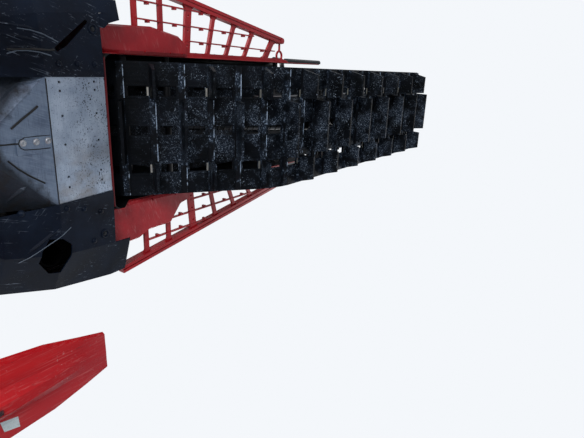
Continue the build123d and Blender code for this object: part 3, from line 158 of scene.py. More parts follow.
def tunnel_masks(tree, place, masks):
    """Painted shade: the tunnel's hollow, painted black, and its front rim, painted dark red, seen along its
    length and narrower than its skin.
    """
    half_width, shaft_middle, front_radius, ceiling = 0.2196, (0.0, -0.104, 0.432), 0.2016, 0.6336
    front_ends, covered_to, rim_to = -0.1, -0.268, -0.228
    x, y, z = add(tree, "ShaderNodeSeparateXYZ", {0: place}, out=None)
    side = add(tree, "ShaderNodeMath", {0: x}, operation="ABSOLUTE")
    narrow = add(tree, "ShaderNodeMath", {0: side, 1: half_width}, operation="LESS_THAN")
    shaft = add(tree, "ShaderNodeVectorMath", {0: place, 1: shaft_middle}, operation="SUBTRACT")
    shaft = add(tree, "ShaderNodeVectorMath", {0: shaft, 1: (0, 1, 1)}, operation="MULTIPLY")
    reach = add(tree, "ShaderNodeVectorMath", {0: shaft}, out="Value", operation="LENGTH")
    near = add(tree, "ShaderNodeMath", {0: reach, 1: front_radius}, operation="LESS_THAN")
    behind = add(tree, "ShaderNodeMath", {0: y, 1: front_ends}, operation="GREATER_THAN")
    low = add(tree, "ShaderNodeMath", {0: z, 1: ceiling}, operation="LESS_THAN")
    behind = add(tree, "ShaderNodeMath", {0: behind, 1: low}, operation="MULTIPLY")
    covered = add(tree, "ShaderNodeMath", {0: y, 1: covered_to}, operation="LESS_THAN")
    # The hollow inside the tunnel, which the finish paints black as shade
    hollow = add(tree, "ShaderNodeMath", {0: near, 1: behind}, operation="MAXIMUM")
    hollow = add(tree, "ShaderNodeMath", {0: hollow, 1: covered}, operation="MAXIMUM")
    # The front rim, which the finish darkens as painted shade
    rim = add(tree, "ShaderNodeMath", {0: y, 1: rim_to}, operation="LESS_THAN")
    return {"hollow": hollow, "rim": rim, "narrow": narrow}


def leather_mask(tree, place, masks):
    """Leather grain; the real one of about 1 mm is drawn at 1.8 mm, or it wouldn't show."""
    return {"grain": add(tree, "ShaderNodeTexVoronoi", {"Vector": place, "Scale": per_mm(1.8)}, out="Distance")}


def plate_masks(tree, place, masks):
    """The belly plate's rear, where its pits crowd, and its lower half in the picture, where it is stained."""
    x, y, _ = add(tree, "ShaderNodeSeparateXYZ", {0: place}, out=None)
    rear = {"Value": y, "From Min": -0.40, "From Max": -0.32, "To Min": 0.12, "To Max": 1.0}
    lower = {"Value": x, "From Min": 0.02, "From Max": -0.09}
    return {"rear": add(tree, "ShaderNodeMapRange", rear), "lower": add(tree, "ShaderNodeMapRange", lower)}


def stamping_masks(tree, place, masks):
    """The stamping outside its two diagonal folds, which close in towards the nose, with a ragged edge, where
    painted shade darkens the side facets.
    """
    middle, widening, half_width_at_origin, ragged, edge = 0.016, 1.15, 0.675, 0.02, (-0.004, 0.03)
    x, y, _ = add(tree, "ShaderNodeSeparateXYZ", {0: place}, out=None)
    side = add(tree, "ShaderNodeMath", {0: x, 1: middle}, operation="SUBTRACT")
    side = add(tree, "ShaderNodeMath", {0: side}, operation="ABSOLUTE")
    fold = add(tree, "ShaderNodeMath", {0: y, 1: widening, 2: half_width_at_origin}, operation="MULTIPLY_ADD")
    outside = add(tree, "ShaderNodeMath", {0: side, 1: fold}, operation="SUBTRACT")
    outside = add(tree, "ShaderNodeMath", {0: masks["grime"], 1: ragged, 2: outside}, operation="MULTIPLY_ADD")
    outside = {"Value": outside, "From Min": edge[0], "From Max": edge[1]}
    return {"outside": add(tree, "ShaderNodeMapRange", outside)}


def track_masks(tree, place, masks):
    """Scuffs that lie one way or the other, in clumps that leave one side clean; they and the specks fade out
    towards the track's front, which stays black as painted shade.
    """
    marks = add(tree, "ShaderNodeMix", {0: masks["side"], 2: masks["one_way"], 3: masks["other_way"]})
    x, y, _ = add(tree, "ShaderNodeSeparateXYZ", {0: place}, out=None)
    side = add(tree, "ShaderNodeMapRange", {"Value": x, "From Min": 0.16, "From Max": 0.03, "To Min": 0.25})
    # Painted shade: the marks fade out towards the track's front
    end = add(tree, "ShaderNodeMapRange", {"Value": y, "From Min": -0.16, "From Max": -0.02})
    clumps = add(tree, "ShaderNodeMath", {0: masks["clumps"], 1: side}, operation="MULTIPLY")
    clumps = add(tree, "ShaderNodeMath", {0: clumps, 1: end}, operation="MULTIPLY")
    # At scale 1 the wave node has a band every 2 pi / 20. The cords lie about 2 mm apart on the machine and
    # are drawn 11.875 mm apart, or they wouldn't show.
    cords = {"Vector": place, "Scale": per_mm(11.875) * 2 * math.pi / 20, "Distortion": 1.0}
    cords = add(tree, "ShaderNodeTexWave", cords, out="Fac", bands_direction="X")
    return {"marks": marks, "clumps": clumps, "clean_end": end, "cords": cords}


def vinyl_mask(tree, place, masks):
    """Diamonds embossed in the seat's vinyl."""
    turned = add(tree, "ShaderNodeMapping", {"Vector": place, "Rotation": (0, 0, math.pi / 4)})
    return {"grip": add(tree, "ShaderNodeTexChecker", {"Vector": turned, "Scale": per_mm(7.0)}, out="Fac")}


# Grain, brush lines and scratches are finer than 1 mm on the machine. They are drawn 1.4 to 3 mm wide, or
# they wouldn't show.
FINISHES = {
    # Powder-coated sheet: faintly pebbled and dusty, scraped and chipped, with painted shade: black inside the
    # tunnel and dark red on its front rim
    "red_coat": material(
        "powder_coated_aluminium_sheet", "#A3161E",
        {"patches": Mask(130, 0.35, 0.7), "dust": Mask(9, 0.56, 0.75, detail=6.0), "chips": Mask(5, 0.68, 0.7),
         "scrapes": Mask(3, 0.62, 0.68, 1.4, (1, 14, 1)), "few": Mask(60, 0.5, 0.6),
         "grain": Mask(2.2, 0.3, 0.7, detail=2.0)},
        (("#7E131B", 0.8, "patches"), ("#B98F8E", 0.15, "dust", "few"), ("#C27E7A", 0.3, "scrapes", "few"),
         # The last two layers are painted shade: dark red on the tunnel's front rim and black in its hollow
         ("#3A2224", 0.9, "chips", "few"), ("#3A1115", 0.75, "rim", "narrow"),
         ("#0A0B0D", 1.0, "hollow", "narrow")),
        ("patches", 0.34, 0.48), (("grain", 0.12, 0.5),),
        {"IOR": 1.5, "Specular IOR Level": 0.3}, tunnel_masks),
    # Injection-moulded, pigmented body plastic: smooth and glossy, with fine wipe marks and stone chips
    "red_body": material(
        "moulded_red_body_plastic", "#B4171D",
        {"tone": Mask(260, 0.3, 0.7), "wipes": Mask(2.5, 0.63, 0.72, 0.5, (1, 30, 8)),
         "chips": Mask(4, 0.72, 0.74), "few": Mask(70, 0.5, 0.62), "wave": Mask(14, 0.3, 0.7, detail=2.0),
         "gloss": Mask(30, 0.3, 0.7)},
        (("#9C151B", 0.9, "tone"), ("#E0A9A8", 0.14, "wipes"), ("#5A1A1B", 0.7, "chips", "few")),
        ("gloss", 0.3, 0.44), (("wave", 0.1, 0.25),),
        {"IOR": 1.5, "Specular IOR Level": 0.34, "Coat Weight": 0.12, "Coat Roughness": 0.2}),
    # The same plastic in the foot pockets: dulled and rubbed pale by boots and crust
    "red_foot": material(
        "worn_red_body_plastic", "#9C1A22",
        {"tone": Mask(90, 0.35, 0.7), "rubs": Mask(4, 0.55, 0.7, 1.3, (1, 12, 1)),
         "where": Mask(55, 0.45, 0.62), "wave": Mask(40, 0.3, 0.7, detail=2.0)},
        (("#78141B", 0.8, "tone"), ("#C68D8B", 0.3, "rubs", "where")),
        0.42, (("wave", 1.2, 0.5),), {"IOR": 1.5, "Specular IOR Level": 0.35}),
    # Ultra-high-weight polyethylene: waxy red, scraped along its run and scuffed pale
    "red_ski": material(
        "scraped_red_polyethylene", "#B80F15",
        {"tone": Mask(120, 0.32, 0.68, drawn=(1, 4, 1)), "runs": Mask(3, 0.55, 0.72, drawn=(1, 45, 1)),
         "deep": Mask(2.4, 0.66, 0.7, drawn=(1, 25, 1)), "scuffs": Mask(7, 0.62, 0.72, detail=5.0),
         "few": Mask(90, 0.5, 0.65)},
        (("#94101A", 0.9, "tone"), ("#DD8A86", 0.25, "runs"), ("#4E0D10", 0.6, "deep"),
         ("#E0BDBA", 0.55, "scuffs", "few")),
        ("runs", 0.34, 0.55), (("deep", 0.3, 0.5), ("runs", 0.2, 0.3)), {"IOR": 1.51}),
    # Moulded polypropylene belly: leather grain, pale scuffs and white specks where crust has dragged
    "pan": material(
        "scuffed_black_polypropylene", "#080D17",
        {"patches": Mask(110, 0.35, 0.7, detail=4.0), "long_marks": Mask(3, 0.63, 0.69, 0.3, (1, 45, 1)),
         "cross_marks": Mask(2.4, 0.66, 0.7, -0.8, (1, 26, 1)), "specks": Mask(4.5, 0.73, 0.75, detail=4.0),
         "where": Mask(80, 0.46, 0.6), "haze": Mask(60, 0.5, 0.85, detail=5.0)},
        (("#0F1929", 0.9, "patches"), ("#1E2938", 0.3, "haze"), ("#8A95A5", 0.5, "long_marks", "where"),
         ("#6E7988", 0.5, "cross_marks", "where"), ("#BCC6D2", 0.8, "specks", "where")),
        ("patches", 0.34, 0.5), (("grain", 0.15, 0.35),),
        {"IOR": 1.49, "Specular IOR Level": 0.1}, leather_mask),
    # Clean moulded polypropylene of the covers: even black satin with a fine leather grain
    "cover": material(
        "grained_black_polypropylene", "#111316",
        {"tone": Mask(90, 0.35, 0.7), "rubs": Mask(4, 0.64, 0.72, detail=4.0)},
        (("#1B1E22", 0.9, "tone"), ("#4A4F55", 0.25, "rubs")),
        0.5, (("grain", 0.2, 0.4),), {"IOR": 1.49}, leather_mask),
    # Mill-finish sheet: pale, rolled across, with dark pits that crowd to its rear and a brown stain
    "plate": material(
        "pitted_mill_finish_aluminium", "#A9B6C7",
        {"clouds": Mask(75, 0.35, 0.7, detail=5.0), "rolled": Mask(2.4, 0.4, 0.7, drawn=(20, 1, 1)),
         "pits": Mask(5.2, 0.57, 0.61), "grit": Mask(3.4, 0.64, 0.67),
         "where": Mask(26, 0.42, 0.54, detail=4.0), "stain": Mask(46, 0.42, 0.7, drawn=(1, 2, 1), detail=6.0)},
        (("#8594A8", 0.8, "clouds"), ("#758397", 0.35, "rolled"), ("#7C7469", 0.75, "stain", "lower"),
         ("#0C0E12", 0.95, "pits", "where", "rear"), ("#191C20", 0.85, "grit")),
        ("clouds", 0.38, 0.56), (("rolled", 0.06, 0.5), ("pits", 0.2, 0.4)), {"Metallic": 0.85}, plate_masks),
    # Stamped frame: darker and streaked along its run, with painted shade near black on the side facets outside
    # its folds, and brown grime in these hollows
    "frame": material(
        "grimy_stamped_aluminium", "#8393A8",
        {"clouds": Mask(60, 0.35, 0.7, detail=5.0), "streaks": Mask(3, 0.45, 0.7, 0.35, (1, 18, 1)),
         "across": Mask(2.4, 0.5, 0.7, drawn=(14, 1, 1)), "grime": Mask(46, 0.5, 0.7, detail=6.0)},
        (("#627087", 0.9, "clouds"), ("#A1AFC1", 0.35, "streaks"), ("#424C5B", 0.3, "across"),
         # Painted shade: near black on the side facets outside the folds, with brown grime over it
         ("#1B1D21", 0.85, "outside"), ("#3A332A", 0.6, "grime", "outside")),
        ("clouds", 0.5, 0.66), (("streaks", 0.1, 0.5),), {"Metallic": 0.85}, stamping_masks),
    # Moulded track rubber: near black, with pale fibrous scuffs that lie both ways across the cords, kept off
    # its front as painted shade
    "track": material(
        "moulded_track_rubber", "#03060A",
        {"tone": Mask(90, 0.35, 0.7, detail=4.0), "one_way": Mask(2.6, 0.58, 0.65, 0.75, (1, 6, 1), 1.0),
         "other_way": Mask(2.7, 0.58, 0.65, -0.75, (1, 6, 1), 1.0), "side": Mask(30, 0.48, 0.52),
         "clumps": Mask(75, 0.44, 0.64), "specks": Mask(4.4, 0.62, 0.66), "rows": Mask(40, 0.5, 0.6)},
        (("#0A0F17", 0.9, "tone"), ("#222C3A", 0.5, "clumps"), ("#93A2B6", 0.7, "marks", "clumps"),
         ("#A9B9CC", 0.7, "specks", "rows", "clean_end")),
        ("tone", 0.5, 0.7), (("cords", 0.4, 0.4), ("marks", 0.6, 0.5)),
        {"IOR": 1.52, "Specular IOR Level": 0.1}, track_masks),
    # Rubber over the track's cross rods: black, dusted grey in patches
    "rib": material(
        "dusty_rib_rubber", "#0A0D12", {"worn": Mask(5, 0.56, 0.64, detail=4.0), "gaps": Mask(45, 0.45, 0.6)},
        (("#1C2531", 0.8, "gaps"), ("#93A4BA", 0.6, "worn", "gaps")),
        0.6, (("worn", 0.4, 0.5),), {"IOR": 1.52, "Specular IOR Level": 0.1}),
    # Rubber edge that runs on hard ground: a pale line of painted highlight, broken where it is still black
    "worn_edge": material(
        "rib_edge_painted_highlight", "#0D1117", {"left": Mask(26, 0.47, 0.55, detail=4.0), "fine": Mask(6, 0.4, 0.6)},
        (("#8496AD", 0.85, "left"), ("#B4C2D2", 0.5, "left", "fine")),
        0.65, (("fine", 0.3, 0.5),), {"IOR": 1.52, "Specular IOR Level": 0.2}),
    # Moulded rubber of grips, flap and trim: matt black with a faint bloom
    "rubber": material(
        "matt_black_rubber", "#101113", {"tone": Mask(60, 0.35, 0.7), "fine": Mask(1.6, 0.3, 0.7, detail=2.0)},
        (("#1F2226", 0.8, "tone"),), 0.68, (("fine", 0.15, 0.4),), {"IOR": 1.52}),
    # Powder-coated steel tube: satin black, rubbed to grey in places
    "black_coat": material(
        "powder_coated_steel_tube", "#121417",
        {"rubs": Mask(6, 0.6, 0.7, detail=5.0), "few": Mask(70, 0.5, 0.62),
         "fine": Mask(1.8, 0.3, 0.7, detail=2.0)},
        (("#6A6D72", 0.5, "rubs", "few"),), 0.4, (("fine", 0.08, 0.4),), {"IOR": 1.5}),
    # Coated seat fabric: black vinyl with an embossed diamond grip and soft highlights
    "seat": material(
        "embossed_seat_vinyl", "#131417",
        {"tone": Mask(90, 0.35, 0.7), "fine": Mask(1.4, 0.3, 0.7, detail=2.0)},
        (("#22252B", 0.8, "tone"),), 0.56, (("fine", 0.15, 0.4), ("grip", 0.25, 0.35)),
        {"IOR": 1.5, "Sheen Weight": 0.15}, vinyl_mask),
}

# Bare metals, which differ in tone, in the tone of their dull patches, in roughness and in grain
for label, name, tone, dull, rough, grain in (
    ("steel", "zinc_plated_steel", "#8E9196", "#5E6165", 0.38, 1.5),  # even grey with soft highlights
    ("dark_steel", "oiled_dark_steel", "#3C3E41", "#26272A", 0.4, 1.5),  # dark, with a dull sheen
    ("soot_and_shade", "sooty_exhaust_steel_painted_shade", "#0E0E10", "#050506", 0.7, 1.5),  # matt black: soot, and painted shade inside the pipe
    ("bright", "polished_rivet_aluminium", "#D5D8DC", "#A9ADB2", 0.2, 3.0),  # bright, with sharp glints
    ("cast", "sand_cast_aluminium", "#7C7F83", "#4E5154", 0.52, 1.2),  # grey and grainy
    ("rail", "extruded_aluminium", "#3A3D42", "#26282B", 0.45, 2.0),  # dark grey satin
    ("clip", "stainless_track_clip", "#EEECE2", "#BDBCB2", 0.3, 2.0),  # pale, rubbed by the drive teeth
):
    FINISHES[label] = material(
        name, tone, {"patches": Mask(40, 0.35, 0.7, detail=4.0), "fine": Mask(grain, 0.3, 0.7)},
        ((dull, 0.6, "patches"),), ("patches", rough, rough + 0.15), (("fine", 0.1, 0.4),), {"Metallic": 1.0})

# Moulded polycarbonate: clear or tinted, with a slight ripple
for label, name, tone, rough in (
    ("screen", "smoked_polycarbonate", "#5A5E66", 0.04),
    ("lens", "clear_polycarbonate", "#F2F5F7", 0.02),
    ("red_lens", "red_polycarbonate", "#C21A1E", 0.06),
):
    FINISHES[label] = material(name, tone, {"ripple": Mask(90, 0.2, 0.8, detail=0.0)}, (), rough,
                               (("ripple", 0.05, 0.1),), {"IOR": 1.58, "Transmission Weight": 1.0})

# Films, painted highlights of folds, and webbing: an even tone with faint wear
for label, name, tone, worn, rough, metallic in (
    ("sticker", "blank_vinyl_sticker", "#B9C4C4", "#7F8A8C", 0.4, 0.0),  # pale satin
    ("dial", "dark_display_glass", "#0B0D10", "#171B20", 0.1, 0.0),  # black gloss
    ("mirror", "vapour_coated_reflector", "#DDE1E5", "#A9AEB3", 0.12, 1.0),  # a soft mirror
    ("sealant", "black_seam_sealant", "#050608", "#0D0E11", 0.6, 0.0),  # a matt black line: seams, and painted shade in folds
    ("painted_highlight", "fold_painted_highlight", "#4C5866", "#1A212B", 0.5, 0.0),  # painted highlight on a fold, grey
    ("webbing", "woven_nylon_webbing", "#16181B", "#2C3036", 0.75, 0.0),  # matt and dark
):
    FINISHES[label] = material(name, tone, {"wear": Mask(6, 0.45, 0.75, detail=4.0)}, ((worn, 0.5, "wear"),),
                               rough, (("wear", 0.05, 0.3),), {"Metallic": metallic})

NODE_FINISH = {
    "red_coat": ("tunnel", "running_boards"),
    "red_body": ("hood", "side_panels"),
    "red_foot": ("footwells",),
    "red_ski": ("ski_left", "ski_right"),
    "pan": ("belly_pans", "nose_cover"),
    "cover": ("console", "dash_panel", "vent_inserts", "gauge", "fuel_tank", "edge_guards", "hand_controls",
              "drive_shaft", "idler_wheels"),
    "plate": ("belly_plate",),
    "frame": ("bulkhead",),
    "track": ("track",),
    "rubber": ("grips", "snow_flap"),
    "black_coat": ("skid_arms", "ski_arms", "steering_post", "handlebar", "bumpers", "ski_loop_left",
                   "ski_loop_right"),
    "steel": ("tie_rod_left", "tie_rod_right", "ski_runner_left", "ski_runner_right", "front_shocks"),
    "dark_steel": ("skid_shocks",),
    # Near black all over: soot, and painted shade inside the pipe
    "soot_and_shade": ("exhaust",),
    "cast": ("engine", "spindle_left", "spindle_right"),
    "rail": ("slide_rails",),
    "seat": ("seat",),
    "screen": ("windshield",),
    "lens": ("headlights",),
    "red_lens": ("tail_light",),
}


# Making pieces


def linked(name, data):
    """New object of this data, in the scene."""
    made = bpy.data.objects.new(name, data)
    bpy.context.scene.collection.objects.link(made)
    return made


def final_mesh(holder):
    """Mesh of an object with its modifiers or its bevel in it."""
    return bpy.data.meshes.new_from_object(holder.evaluated_get(bpy.context.evaluated_depsgraph_get()))


def piece(name, mesh, finish, body="chassis", covers=()):
    """Object of a finished mesh at the origin; it rides on a body and may stand in for CAD nodes."""
    made = linked(name, mesh)
    if finish:
        mesh.materials.clear()
        mesh.materials.append(FINISHES[finish])
    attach(made, body)
    for node in covers:
        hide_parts(node)


def solid(name, bm, finish, body="chassis", smooth=35, covers=()):
    """Piece from a bmesh, with its faces outwards and smooth up to this angle."""
    bmesh.ops.recalc_face_normals(bm, faces=bm.faces)
    mesh = bpy.data.meshes.new(name)
    bm.to_mesh(mesh)
    bm.free()
    mesh.shade_smooth()
    mesh.set_sharp_from_angle(angle=math.radians(smooth))
    piece(name, mesh, finish, body, covers)


def bead(name, points, radius, finish):
    """Round bead along points, with its radius in millimetres."""
    curve = bpy.data.curves.new(name, "CURVE")
    curve.dimensions = "3D"
    curve.bevel_depth, curve.bevel_resolution, curve.use_fill_caps = radius * MM, 2, True
    spline = curve.splines.new("POLY")
    spline.points.add(len(points) - 1)
    for target, point in zip(spline.points, points):
        target.co = (*point, 1.0)
    holder = linked(name, curve)
    mesh = final_mesh(holder)
    bpy.data.objects.remove(holder)
    mesh.shade_smooth()
    piece(name, mesh, finish)


def new_tree(name, **sizes):
    """Geometry node tree with a named input for each size and one for the material; gives it and its inputs."""
    tree = bpy.data.node_groups.new(name, "GeometryNodeTree")
    tree.interface.new_socket("Geometry", in_out="INPUT", socket_type="NodeSocketGeometry")
    for label, value in sizes.items():
        tree.interface.new_socket(label, in_out="INPUT", socket_type="NodeSocketFloat").default_value = value
    tree.interface.new_socket("Material", in_out="INPUT", socket_type="NodeSocketMaterial")
    tree.interface.new_socket("Geometry", in_out="OUTPUT", socket_type="NodeSocketGeometry")
    return tree, add(tree, "NodeGroupInput", out=None)


def placed(tree, given, *shapes):
    """Ends a tree: its shapes at every point, Z along the point's facing and Y along its run, made real."""
    shape = add(tree, "GeometryNodeJoinGeometry", {0: list(shapes)}) if len(shapes) > 1 else shapes[0]
    facing = add(tree, "GeometryNodeInputNamedAttribute", {"Name": "facing"}, data_type="FLOAT_VECTOR")
    run = add(tree, "GeometryNodeInputNamedAttribute", {"Name": "run"}, data_type="FLOAT_VECTOR")
    turn = add(tree, "FunctionNodeAxesToRotation", {"Primary Axis": facing, "Secondary Axis": run},
               primary_axis="Z", secondary_axis="Y")
    many = {"Points": given["Geometry"], "Instance": shape, "Rotation": turn}
    many = add(tree, "GeometryNodeInstanceOnPoints", many)
    real = add(tree, "GeometryNodeRealizeInstances", {"Geometry": many})
    painted = add(tree, "GeometryNodeSetMaterial", {"Geometry": real, "Material": given["Material"]})
    add(tree, "NodeGroupOutput", {0: painted}, out=None)
    return tree


def rivet_tree():
    """A domed head on a thin flange."""
    tree, given = new_tree("rivets", Radius=3 * MM, Height=1.5 * MM)
    flange = {"Vertices": 20, "Radius": given["Radius"], "Depth": 0.8 * MM}
    flange = add(tree, "GeometryNodeMeshCylinder", flange)
    dome = add(tree, "GeometryNodeMeshUVSphere", {"Segments": 20, "Rings": 10, "Radius": given["Radius"]})
    flat = add(tree, "ShaderNodeMath", {0: given["Height"], 1: given["Radius"]}, operation="DIVIDE")
    size = add(tree, "ShaderNodeCombineXYZ", {"X": 0.82, "Y": 0.82, "Z": flat})
    dome = add(tree, "GeometryNodeTransform", {"Geometry": dome, "Scale": size})
    return placed(tree, given, flange, add(tree, "GeometryNodeSetShadeSmooth", {"Geometry": dome}))


def bolt_tree():
    """A hexagon head on a washer, with the end of its thread showing."""
    tree, given = new_tree("bolts", Radius=6 * MM, Height=5 * MM)
    wide, thin, tall, middle = (
        add(tree, "ShaderNodeMath", {0: given[size], 1: share}, operation="MULTIPLY")
        for size, share in (("Radius", 1.45), ("Radius", 0.5), ("Height", 1.35), ("Height", 0.5)))
    washer, head, stud = (
        add(tree, "GeometryNodeMeshCylinder", {"Vertices": sides, "Radius": radius, "Depth": depth})
        for sides, radius, depth in (
            (24, wide, 1.6 * MM), (6, given["Radius"], given["Height"]), (16, thin, tall)))
    raised = {"Geometry": add(tree, "GeometryNodeJoinGeometry", {0: [head, stud]}),
              "Translation": add(tree, "ShaderNodeCombineXYZ", {"Z": middle})}
    return placed(tree, given, washer, add(tree, "GeometryNodeTransform", raised))


def ring_tree():
    """A round rib or boss: a ring of round section."""
    tree, given = new_tree("rings", Radius=16 * MM, Height=1.5 * MM)
    big = add(tree, "GeometryNodeCurvePrimitiveCircle", {"Resolution": 28, "Radius": given["Radius"]})
    small = add(tree, "GeometryNodeCurvePrimitiveCircle", {"Resolution": 8, "Radius": given["Height"]})
    ring = add(tree, "GeometryNodeCurveToMesh", {"Curve": big, "Profile Curve": small})
    return placed(tree, given, add(tree, "GeometryNodeSetShadeSmooth", {"Geometry": ring}))


def bar_tree():
    """A bar across, with a lower and narrower crest on it that ends 0.8 of its height above its spot."""
    tree, given = new_tree("bars", Width=30 * MM, Length=8 * MM, Height=2 * MM, Crest=0.5)
    size = add(tree, "ShaderNodeCombineXYZ", {"X": given["Width"], "Y": given["Length"], "Z": given["Height"]})
    foot = add(tree, "GeometryNodeMeshCube", {"Size": size})
    small = add(tree, "ShaderNodeCombineXYZ", {"X": 0.99, "Y": given["Crest"], "Z": 0.8})
    lift = add(tree, "ShaderNodeMath", {0: given["Height"], 1: 0.4}, operation="MULTIPLY")
    lift = add(tree, "ShaderNodeCombineXYZ", {"Z": lift})
    crest = add(tree, "GeometryNodeTransform", {"Geometry": foot, "Translation": lift, "Scale": small})
    return placed(tree, given, foot, crest)


def coil_tree():
    """A coil spring that stands on its point."""
    tree, given = new_tree("coil", Turns=8.0, Radius=24 * MM, Length=200 * MM, Height=4 * MM)
    spiral = {"Resolution": 24, "Rotations": given["Turns"], "Height": given["Length"],
              "Start Radius": given["Radius"], "End Radius": given["Radius"]}
    coil = add(tree, "GeometryNodeCurveSpiral", spiral)
    ring = add(tree, "GeometryNodeCurvePrimitiveCircle", {"Resolution": 10, "Radius": given["Height"]})
    wire = add(tree, "GeometryNodeCurveToMesh", {"Curve": coil, "Profile Curve": ring, "Fill Caps": True})
    return placed(tree, given, add(tree, "GeometryNodeSetShadeSmooth", {"Geometry": wire}))


TREES = {"rivet": rivet_tree(), "bolt": bolt_tree(), "ring": ring_tree(), "bar": bar_tree(),
         "coil": coil_tree()}


def repeated(name, kind, spots, finish, slot, body="chassis", **sizes):
    """One plain mesh of like pieces, grown by a node tree with its sizes set in metres before it first runs.

    A spot is a place, the way it faces and, if it matters, its run.
    """
    if not spots:
        raise RuntimeError(f"{name} found no place on the model")
    spots = [(Vector(place), Vector(facing), Vector(*run) if run else Vector(facing).orthogonal())
             for place, facing, *run in spots]
    base = bpy.data.meshes.new(name)
    base.from_pydata([s[0] for s in spots], [], [])
    for k, label in ((1, "facing"), (2, "run")):
        attribute = base.attributes.new(label, "FLOAT_VECTOR", "POINT")
        attribute.data.foreach_set("vector", [c for s in spots for c in s[k]])
    source = linked(name + "_source", base)
    modifier = source.modifiers.new("grow", "NODES")
    modifier.node_group = TREES[kind]
    values = {**sizes, "Material": FINISHES[finish]}
    for item in TREES[kind].interface.items_tree:
        if item.in_out == "INPUT" and item.name in values:
            modifier[item.identifier] = values[item.name]
    mesh = final_mesh(source)
    mesh.name = name
    source.modifiers.clear()
    bpy.data.objects.remove(source)
    piece(name, mesh, None, body)


def shell_of(mesh):
    """Search tree of a mesh's faces."""
    return BVHTree.FromPolygons([v.co for v in mesh.vertices], [p.vertices for p in mesh.polygons])


SHELLS = {}


def landed(node, origins, direction, lift=0.0):
    """Where rays with one direction meet a node: places raised by lift, with the surface's facing."""
    if node not in SHELLS:
        SHELLS[node] = shell_of(NODES[node].data)
    found = []
    for origin in origins:
        place, normal, _, _ = SHELLS[node].ray_cast(Vector(origin), Vector(direction).normalized())
        if place is not None:
            normal = -normal if normal.dot(Vector(direction)) > 0 else normal
            found.append((place + normal * lift, normal))
    return found


def below(node, places, lift=0.0):
    """Spots on a node's underside at places (x, y)."""
    return landed(node, [mm(x, y, 0) for x, y in places], UP, lift)


def above(node, places):
    """Spots on top of a node at places (x, y), from higher than the whole machine."""
    return landed(node, [mm(x, y, 1300) for x, y in places], DOWN)


def beside(node, places):
    """Spots on both sides of a node at places (y, z), from beyond the skis."""
    return mirrored(landed(node, [mm(700, y, z) for y, z in places], RIGHT))


def mirrored(spots):
    """Spots with their mirror images across the machine."""
    flip = Vector((-1, 1, 1))
    return spots + [tuple(Vector(part) * flip for part in spot) for spot in spots]


def facing_matrix(place, facing, run=None):
    """Matrix that stands a shape on a place with its Z along facing and its X near run."""
    z = Vector(facing).normalized()
    x = z.orthogonal() if run is None else Vector(run)
    x = (x - z * x.dot(z)).normalized()
    return Matrix.Translation(place) @ Matrix((x, z.cross(x), z)).transposed().to_4x4()


def leant(degrees):
    """Direction that leans this far from upright towards the tail."""
    return Vector((0, math.sin(math.radians(degrees)), math.cos(math.radians(degrees))))


def block(bm, low, high, matrix, rounded):
    """Box with rounded edges, from its low to its high corner in the matrix's frame, in millimetres."""
    low, high = mm(*low), mm(*high)
    made = bmesh.ops.create_cube(bm, size=1.0)["verts"]
    for v in made:
        v.co = Vector((low[i] + high[i]) / 2 + v.co[i] * (high[i] - low[i]) for i in range(3))
    edges = list({e for v in made for e in v.link_edges})
    ended = bmesh.ops.bevel(bm, geom=edges, offset=rounded * MM, segments=3, affect="EDGES", profile=0.5)
    made = list({v for f in ended["faces"] for v in f.verts} | {v for v in made if v.is_valid})
    bmesh.ops.transform(bm, matrix=matrix, verts=made)


def disc(bm, place, facing, radius, depth, top=None, sides=32):
    """Round block that stands on a place along facing; its sizes, and that of its top, are in millimetres."""
    matrix = facing_matrix(Vector(place), facing) @ Matrix.Translation((0, 0, depth * MM / 2))
    bmesh.ops.create_cone(bm, cap_ends=True, segments=sides, radius1=radius * MM,
                          radius2=(radius if top is None else top) * MM, depth=depth * MM, matrix=matrix)


def built(name, finish, here, blocks, discs=(), body="chassis"):
    """Piece of blocks (low, high, rounded) and discs (height, radius, depth, top, sides) in a frame."""
    bm = bmesh.new()
    for height, *sizes in discs:
        disc(bm, here @ mm(0, 0, height), here.to_3x3() @ Vector(UP), *sizes)
    for low, high, rounded in blocks:
        block(bm, low, high, here, rounded)
    solid(name, bm, finish, body)


def skin(name, node, corners):
    """Thin closed skin that lies on a node's underside inside four corners (x, y)."""
    count = 8
    a, b, c, d = (mm(x, y, 0) for x, y in corners)
    bm = bmesh.new()
    layers = []
    for lift in (0.1 * MM, 0.5 * MM):
        grid = []
        for i in range(count + 1):
            line = [a.lerp(b, i / count).lerp(d.lerp(c, i / count), j / count) for j in range(count + 1)]
            grid.append([bm.verts.new(place) for place, _ in landed(node, line, UP, lift)])
        if any(len(line) != count + 1 for line in grid):
            raise RuntimeError(f"{name} reaches past {node}")
        layers.append(grid)
    for grid in layers:
        for i in range(count):
            for j in range(count):
                bm.faces.new((grid[i][j], grid[i + 1][j], grid[i + 1][j + 1], grid[i][j + 1]))
    edge = [(i, 0) for i in range(count)] + [(count, j) for j in range(count)]
    edge += [(i, count) for i in range(count, 0, -1)] + [(0, j) for j in range(count, 0, -1)]
    inner, outer = layers
    for (i, j), (k, m) in zip(edge, edge[1:] + edge[:1]):
        bm.faces.new((inner[i][j], inner[k][m], outer[k][m], outer[i][j]))
    return bm


# The track's loop, in millimetres: the circles that the belt runs round as (place, height, radius), the
# belt's thickness, its rows of lugs, and how far along the loop the first row lies
LOOP = ((1464, 175.3, 102.3), (322, 326, 253), (-104, 432, 100), (690, 424, 66.3))
BELT = 7.0
ROWS = 44
FIRST_ROW = 34.0


